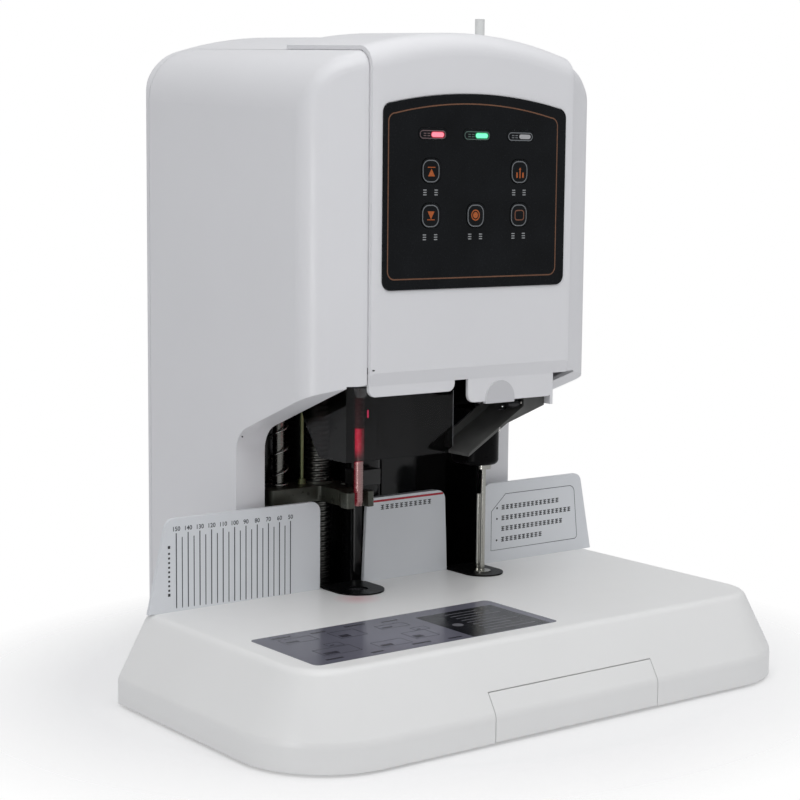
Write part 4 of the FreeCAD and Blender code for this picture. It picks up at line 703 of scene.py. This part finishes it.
# ---------------------------------------------------------------- deck label

LABEL_LEFT, LABEL_LOW, LABEL_RIGHT, LABEL_HIGH, LABEL_ROUND = -195.8, -145.5, 17.0, -63.5, 5
LABEL_PRINT = DECK_FACE + PRINT_LIFT
BLOCK_LEFT, BLOCK_RIGHT, BLOCK_LOW, BLOCK_HIGH = -62, 9, LABEL_LOW + 1.5, LABEL_HIGH - 14
# Pale rows on the dark block, with a ragged right side, and a round mark beside them.
PALE_ROWS, PALE_LOW, PALE_STEP, PALE_DEEP = 9, LABEL_LOW + 9, 6.4, 1.2
PALE_LEFT, PALE_RIGHT, PALE_RAGGED = -40, 2, 6
PALE_MARK = (-50, -112, 4.2, 18)
# Line drawings on the label: left, low, width and depth of each; then plain captions.
FIGURES = ((-180, -88, 26, 12), (-176, -128, 30, 16), (-140, -96, 22, 18),
           (-132, -132, 26, 14), (-102, -92, 24, 10), (-98, -126, 20, 18),
           (-160, -110, 12, 8), (-84, -108, 12, 8))
CAPTIONS = ((-182, -72, 16), (-150, -74, 12), (-120, -72, 18), (-90, -76, 14),
            (-182, -138, 14), (-146, -140, 10), (-110, -138, 16), (-80, -140, 12))
CAPTION_DEEP, FIGURE_LINE, FIGURE_INSET, FIGURE_SHARE = 2.6, 0.7, 2, 0.45


def make_deck_label():
    """Glossy sheet with a dark block; its text and figures are plain shapes."""
    sheet = Drawing(deck(LABEL_PRINT))
    sheet.fill(round_box(LABEL_LEFT, LABEL_LOW, LABEL_RIGHT, LABEL_HIGH, LABEL_ROUND))
    sheet.piece("deck_label", "machine", "label")
    block = Drawing(deck(LABEL_PRINT + PRINT_LIFT))
    block.bar(BLOCK_LEFT, BLOCK_LOW, BLOCK_RIGHT, BLOCK_HIGH)
    block.piece("deck_label_block", "machine", "label_dark")

    pale = Drawing(deck(LABEL_PRINT + 2 * PRINT_LIFT))
    for row in range(PALE_ROWS):
        y = PALE_LOW + row * PALE_STEP
        pale.bar(PALE_LEFT, y, PALE_RIGHT - (row % 3) * PALE_RAGGED, y + PALE_DEEP)
    pale.fill(disc(*PALE_MARK))
    pale.piece("deck_label_rows", "machine", "label_pale")

    lines = Drawing(deck(LABEL_PRINT + PRINT_LIFT))
    for x, y, wide, deep in FIGURES:
        lines.stroke([(x, y), (x + wide, y), (x + wide, y + deep), (x, y + deep)],
                     FIGURE_LINE)
        lines.bar(x + FIGURE_INSET, y + FIGURE_INSET,
                  x + wide * FIGURE_SHARE, y + deep * FIGURE_SHARE)
    for x, y, wide in CAPTIONS:
        lines.bar(x, y, x + wide, y + CAPTION_DEEP)
    lines.piece("deck_label_drawing", "machine", "label_line")


# ---------------------------------------------------------------- screws and spring

SCREW_PITCH, THREAD_SIDES, ROWS_PER_TURN = 4, 28, 8
THREAD_DEEP, THREAD_FLANK, THREAD_LAND = 0.42, 0.16, 0.28
JOURNAL_RADIUS = 5.0
# Each screw: piece, CAD node it stands for, body, axis, ends of the thread, crest radius.
SCREWS = (
    ("press_lead_thread", "lead_screw", "press_screw", (-42.6, 73.5), (23, 262), 10),
    ("drill_feed_thread", "feed_screw", "drill_feed", (-42.6, 118), (270, 424), 6),
    ("rivet_feed_thread", "rivet_screw", "rivet_feed", (77.2, 118), (270, 424), 6),
)
SPRING_X, SPRING_Y, SPRING_LOW, SPRING_HIGH = -80.5, 73.5, 142.2, 261.8
SPRING_COIL, SPRING_WIRE, SPRING_TURNS = 7.2, 0.75, 9.3
WIRE_SIDES, STEPS_PER_TURN = 10, 28
# Closed turns at each end, and how fast they rise beside an evenly wound spring.
CLOSED_TURNS, CLOSED_RISE = 1.2, 0.13


def swept_rings(rings):
    """Skin a list of equal rings of points and close its ends."""
    built = bmesh.new()
    rows = [[built.verts.new(p) for p in ring] for ring in rings]
    count = len(rows[0])
    for low, high in zip(rows, rows[1:]):
        for i in range(count):
            j = (i + 1) % count
            built.faces.new((low[i], low[j], high[j], high[i]))
    built.faces.new(rows[0][::-1])
    built.faces.new(rows[-1])
    return built


def thread_radius(phase, root, crest):
    """Trapezoidal thread: radius at a share of the pitch."""
    if phase < THREAD_FLANK:
        return root + (crest - root) * phase / THREAD_FLANK
    if phase < THREAD_FLANK + THREAD_LAND:
        return crest
    if phase < 2 * THREAD_FLANK + THREAD_LAND:
        return crest - (crest - root) * (phase - THREAD_FLANK - THREAD_LAND) / THREAD_FLANK
    return root


def level_ring(x, y, z, radii):
    """Points round a vertical axis at one height, one for each radius."""
    count = len(radii)
    return [Vector((x + radius * math.cos(TURN * i / count),
                    y + radius * math.sin(TURN * i / count), z)) * MM
            for i, radius in enumerate(radii)]


def threaded_screw(name, node, body, axis, ends, crest):
    """Lead screw with a real thread between its plain ends."""
    x, y = axis
    low, high = ends
    root = crest - SCREW_PITCH * THREAD_DEEP
    bottom, top = (end.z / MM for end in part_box(node))
    journal = [JOURNAL_RADIUS] * THREAD_SIDES
    rings = [level_ring(x, y, z, journal) for z in (bottom, low)]
    rows = round((high - low) / SCREW_PITCH * ROWS_PER_TURN)
    for row in range(rows + 1):
        z = low + (high - low) * row / rows
        phases = [((z - low) / SCREW_PITCH - i / THREAD_SIDES) % 1
                  for i in range(THREAD_SIDES)]
        rings.append(level_ring(x, y, z, [thread_radius(phase, root, crest)
                                          for phase in phases]))
    rings += [level_ring(x, y, z, journal) for z in (high, top)]
    obj = finished(name, mesh_of(name, swept_rings(rings)), body, "screw")
    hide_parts(node)


def make_screws():
    for screw in SCREWS:
        threaded_screw(*screw)


def spring_lift(share):
    """Share of the spring's height reached at a share of its wire."""
    edge = CLOSED_TURNS / SPRING_TURNS
    if share < edge:
        return CLOSED_RISE * share
    if share > 1 - edge:
        return 1 - CLOSED_RISE * (1 - share)
    start = CLOSED_RISE * edge
    return start + (1 - 2 * start) * (share - edge) / (1 - 2 * edge)


def spring_path():
    """Middle of the wire, from the lower end to the upper."""
    total = int(SPRING_TURNS * STEPS_PER_TURN)
    span = SPRING_HIGH - SPRING_LOW - 2 * SPRING_WIRE
    path = []
    for i in range(total + 1):
        angle = TURN * SPRING_TURNS * i / total
        path.append(Vector((SPRING_X + SPRING_COIL * math.cos(angle),
                            SPRING_Y + SPRING_COIL * math.sin(angle),
                            SPRING_LOW + SPRING_WIRE + span * spring_lift(i / total))))
    return path


def make_spring():
    """Coil round the left guide rod, with closed end turns."""
    path = spring_path()
    rings = []
    for i, point in enumerate(path):
        along = (path[min(i + 1, len(path) - 1)] - path[max(i - 1, 0)]).normalized()
        out = Vector((point.x - SPRING_X, point.y - SPRING_Y, 0)).normalized()
        side = along.cross(out).normalized()
        rings.append([(point + (out * math.cos(TURN * k / WIRE_SIDES)
                                + side * math.sin(TURN * k / WIRE_SIDES)) * SPRING_WIRE) * MM
                      for k in range(WIRE_SIDES)])
    obj = linked("press_spring_coil",
                 mesh_of("press_spring_coil", swept_rings(rings), smooth=True))
    dress(obj, "spring")
    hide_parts("press_spring")
    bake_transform(obj)


# ---------------------------------------------------------------- small parts

# Small rounded heads: name, place, radius, paint, slot and stretch along each axis.
HEADS = (
    ("chute_lamp_seat", (51.6, -38.6, 205.6), 3.4, "black_plastic", "black_plastic",
     (1.5, 1, 0.6)),
    ("chute_lamp", (50.4, -39.4, 206.9), 0.8, "white_lamp", "lens_plastic", (1, 1, 1)),
    ("chute_knob", (51.5, -51.5, 210.6), 3.6, "black_plastic", "black_plastic",
     (1.7, 0.9, 0.8)),
    ("chute_knob_pin", (56.0, -54.6, 211.8), 0.9, "post", "bright_steel", (0.8, 0.8, 1.5)),
    ("chute_fitting", (34.0, -55.2, 192.8), 1.3, "steel", "bright_steel", (0.9, 1, 1.7)),
    ("cover_fastener", (-92.0, -65.3, 245.6), 0.9, "black_plastic", "plated_steel",
     (1.4, 0.4, 0.6)),
    ("shell_fastener", (-133.9, 41.5, 189.0), 1.0, "black_plastic", "plated_steel",
     (0.3, 1.2, 0.7)),
)
# Seam strip: rays from this far out find the shell's skin round a middle in Y and Z.
SEAM_Y, SEAM_Z, SEAM_REACH = 30, 330, 400
SEAM_START, SEAM_SWEEP, SEAM_STEPS = 222, 174, 150
SEAM_EDGES, SEAM_PROBE, SEAM_LIFT = (93.9, 95.3), 95.2, 0.05
# On the guard's face: the painted red spot of the pointer's beam (left, low, right, high, corner
# radius and steps) and the painted highlight along its right edge (left, low, right, high).
GUARD_SPOT, GUARD_PAINTED_HIGHLIGHT = (-72.6, 206.6, -71.1, 212.6, 0.7, 3), (8.0, 178, 8.5, 222)
# Finger cap: centre and radius of its round face, and the line where the face ends.
CAP_X, CAP_Z, CAP_RADIUS, CAP_LOW = 27.7, 217.6, 13.9, 214.8


def make_heads():
    """Lamp, knob and hose fitting at the tube chute, and two fasteners on the casing."""
    for name, place, radius, paint, slot, stretch in HEADS:
        built = bmesh.new()
        bmesh.ops.create_uvsphere(built, u_segments=20, v_segments=12, radius=radius * MM)
        bmesh.ops.scale(built, vec=stretch, verts=built.verts)
        bmesh.ops.translate(built, vec=Vector(place) * MM, verts=built.verts)
        finished(name, mesh_of(name, built, smooth=True), "machine", paint)


def make_seam_fillers():
    """Flush strip over the gap between each side shell and the covers beside it."""
    middle = Vector((0, SEAM_Y, SEAM_Z)) * MM
    for label, side in (("left", -1), ("right", 1)):
        shell = NODES[f"{label}_side_shell"]
        at_home = shell.matrix_world
        tree = BVHTree.FromPolygons([at_home @ v.co for v in shell.data.vertices],
                                    [f.vertices for f in shell.data.polygons])
        built = bmesh.new()
        rows = []
        for step in range(SEAM_STEPS + 1):
            angle = math.radians(SEAM_START - SEAM_SWEEP * step / SEAM_STEPS)
            out = Vector((0, math.cos(angle), math.sin(angle)))
            probe = Vector((side * SEAM_PROBE * MM, middle.y, middle.z))
            point, normal = tree.ray_cast(probe + out * (SEAM_REACH * MM), -out)[:2]
            if point is None:
                continue
            flat = Vector((0, normal.y, normal.z)).normalized()
            lifted = point + flat * SEAM_LIFT * MM
            rows.append([built.verts.new((side * x * MM, lifted.y, lifted.z))
                         for x in SEAM_EDGES])
        for (a, b), (c, d) in zip(rows, rows[1:]):
            built.faces.new((a, b, d, c))
        finished(f"{label}_seam_strip", mesh_of("seam", built), "machine", "seam")


def make_finger_cap_face():
    """The cap's face is a touch greyer than the flap behind it."""
    start = math.degrees(math.asin((CAP_LOW - CAP_Z) / CAP_RADIUS))
    face = Drawing(front(CAP_FACE - PRINT_LIFT))
    face.fill(arc(CAP_X, CAP_Z, CAP_RADIUS, start, 180 - start, 32))
    face.piece("finger_cap_face", "machine", "cap")


def make_beam_wash():
    """Red light that the pointer spills on the deck before the drill."""
    wash = Drawing(deck(DECK_FACE + PRINT_LIFT))
    wash.fill(disc(*WASH_SPOT, WASH_REACH))
    wash.piece("pointer_glow", "machine", "beam_wash")


def make_guard_lights():
    """Painted red spot where the pointer's beam meets the guard, and a painted highlight along
    the guard's right edge.
    """
    spot = Drawing(front(GUARD_FACE - PRINT_LIFT))
    spot.fill(round_box(*GUARD_SPOT))
    spot.piece("guard_beam_spot", "machine", "beam_spot")
    gleam = Drawing(front(GUARD_FACE - PRINT_LIFT))
    gleam.bar(*GUARD_PAINTED_HIGHLIGHT)
    gleam.piece("guard_edge_painted_highlight", "machine", "mark")


# ---------------------------------------------------------------- stage

FLOOR_HALF, FLOOR_GLOW = 3, 0.4
# Distances at which the floor's fade starts and ends; depth counts for a little more.
FADE_START, FADE_END, FADE_DEEPER = 0.27, 0.40, 1.15
SURROUND = 0.475
# Camera: place in metres; yaw, pitch and roll in degrees; focal length in millimetres.
CAMERA_PLACE, CAMERA_ANGLES = (-0.8702, -1.1165, 0.3850), (37.34, -6.98, 0.55)
CAMERA_LENS = 83.61


def shaders_mixed(tree, factor, first, second):
    """Blend of two shaders."""
    node = tree.nodes.new("ShaderNodeMixShader")
    for socket, value in zip(node.inputs, (factor, first, second)):
        tree.links.new(value, socket)
    return node.outputs[0]


def make_stage():
    """White table that fades into the backdrop away from the machine."""
    half = FLOOR_HALF
    mesh = bpy.data.meshes.new("floor")
    mesh.from_pydata([(-half, -half, 0), (half, -half, 0), (half, half, 0), (-half, half, 0)],
                     [], [(0, 1, 2, 3)])
    floor = linked("floor", mesh)
    paint = Paint("floor_white", (0.93, 0.93, 0.94), 0.35).uneven(3, 0.05)
    tree = paint.tree
    seen = tree.nodes.new("ShaderNodeLightPath").outputs["Is Camera Ray"]
    plain = tree.nodes.new("ShaderNodeEmission")
    clear = tree.nodes.new("ShaderNodeBsdfTransparent")
    away = tree.nodes.new("ShaderNodeVectorMath")
    away.operation = "LENGTH"
    tree.links.new(paint.stretched(1.0, FADE_DEEPER, 1.0), away.inputs[0])
    fade = paint.ranged(away.outputs["Value"], 0.0, 1.0, FADE_START, FADE_END)
    soft = shaders_mixed(tree, paint.reckoned("MULTIPLY", seen, FLOOR_GLOW),
                         paint.shader.outputs["BSDF"], plain.outputs[0])
    whole = shaders_mixed(tree, paint.reckoned("MULTIPLY", fade, seen), soft,
                          clear.outputs[0])
    tree.links.new(whole, paint.surface)
    floor.data.materials.append(paint.material)


def make_world():
    """Even studio surround that is plain white where the camera sees it."""
    world = bpy.data.worlds.new("studio")
    bpy.context.scene.world = world
    world.use_nodes = True
    tree = world.node_tree
    tree.nodes.clear()
    shades = []
    for colour, strength in (((0.97, 0.98, 1, 1), SURROUND), ((1, 1, 1, 1), 1)):
        node = tree.nodes.new("ShaderNodeBackground")
        node.inputs["Color"].default_value = colour
        node.inputs["Strength"].default_value = strength
        shades.append(node.outputs[0])
    path = tree.nodes.new("ShaderNodeLightPath")
    out = tree.nodes.new("ShaderNodeOutputWorld")
    tree.links.new(shaders_mixed(tree, path.outputs["Is Camera Ray"], *shades),
                   out.inputs["Surface"])


def area_light(name, place, target, size, power):
    """Rectangular light turned to its target; metres and watts."""
    data = bpy.data.lights.new(name, "AREA")
    data.shape = "RECTANGLE"
    data.size, data.size_y = size
    data.energy = power
    light = linked(name, data)
    light.location = place
    light.rotation_mode = "QUATERNION"
    light.rotation_quaternion = (Vector(target) - Vector(place)).to_track_quat("-Z", "Y")
    return light


def make_lights():
    """Two soft boxes overhead and a strip that only shows as a gleam."""
    area_light("top_soft", (0.25, -0.35, 1.7), (0, 0, 0.1), (1.8, 1.8), 9.1)
    area_light("high_soft", (-0.75, -0.75, 1.6), (-0.1, -0.1, 0.1), (1.0, 1.0), 7.3)
    strip = area_light("strip_gleam", (-1.15, -0.42, 0.22), (-0.008, 0.06, 0.15),
                       (0.07, 0.5), 2.0)
    strip.visible_diffuse = False


def make_camera():
    """Viewpoint solved from the ruler and the edges of the casing."""
    yaw, pitch, roll = (math.radians(angle) for angle in CAMERA_ANGLES)
    ahead = Vector((math.sin(yaw) * math.cos(pitch), math.cos(yaw) * math.cos(pitch),
                    math.sin(pitch)))
    level = Vector((math.cos(yaw), -math.sin(yaw), 0))
    up = level.cross(ahead)
    right = level * math.cos(roll) + up * math.sin(roll)
    above = up * math.cos(roll) - level * math.sin(roll)
    data = bpy.data.cameras.new("camera")
    data.sensor_width = 36
    data.lens = CAMERA_LENS
    data.clip_end = 60
    camera = linked("camera", data)
    turn = Matrix((right, above, -ahead)).transposed().to_4x4()
    camera.matrix_world = Matrix.Translation(CAMERA_PLACE) @ turn
    bpy.context.scene.camera = camera


make_paints()
dress_nodes()
make_panel_print()
make_key_print()
make_lamps()
make_ruler()
make_middle_stop_print()
make_right_stop_print()
make_deck_label()
make_screws()
make_spring()
make_heads()
make_seam_fillers()
make_finger_cap_face()
make_beam_wash()
make_guard_lights()
make_stage()
make_world()
make_lights()
make_camera()

bpy.context.scene.view_settings.view_transform = "Standard"
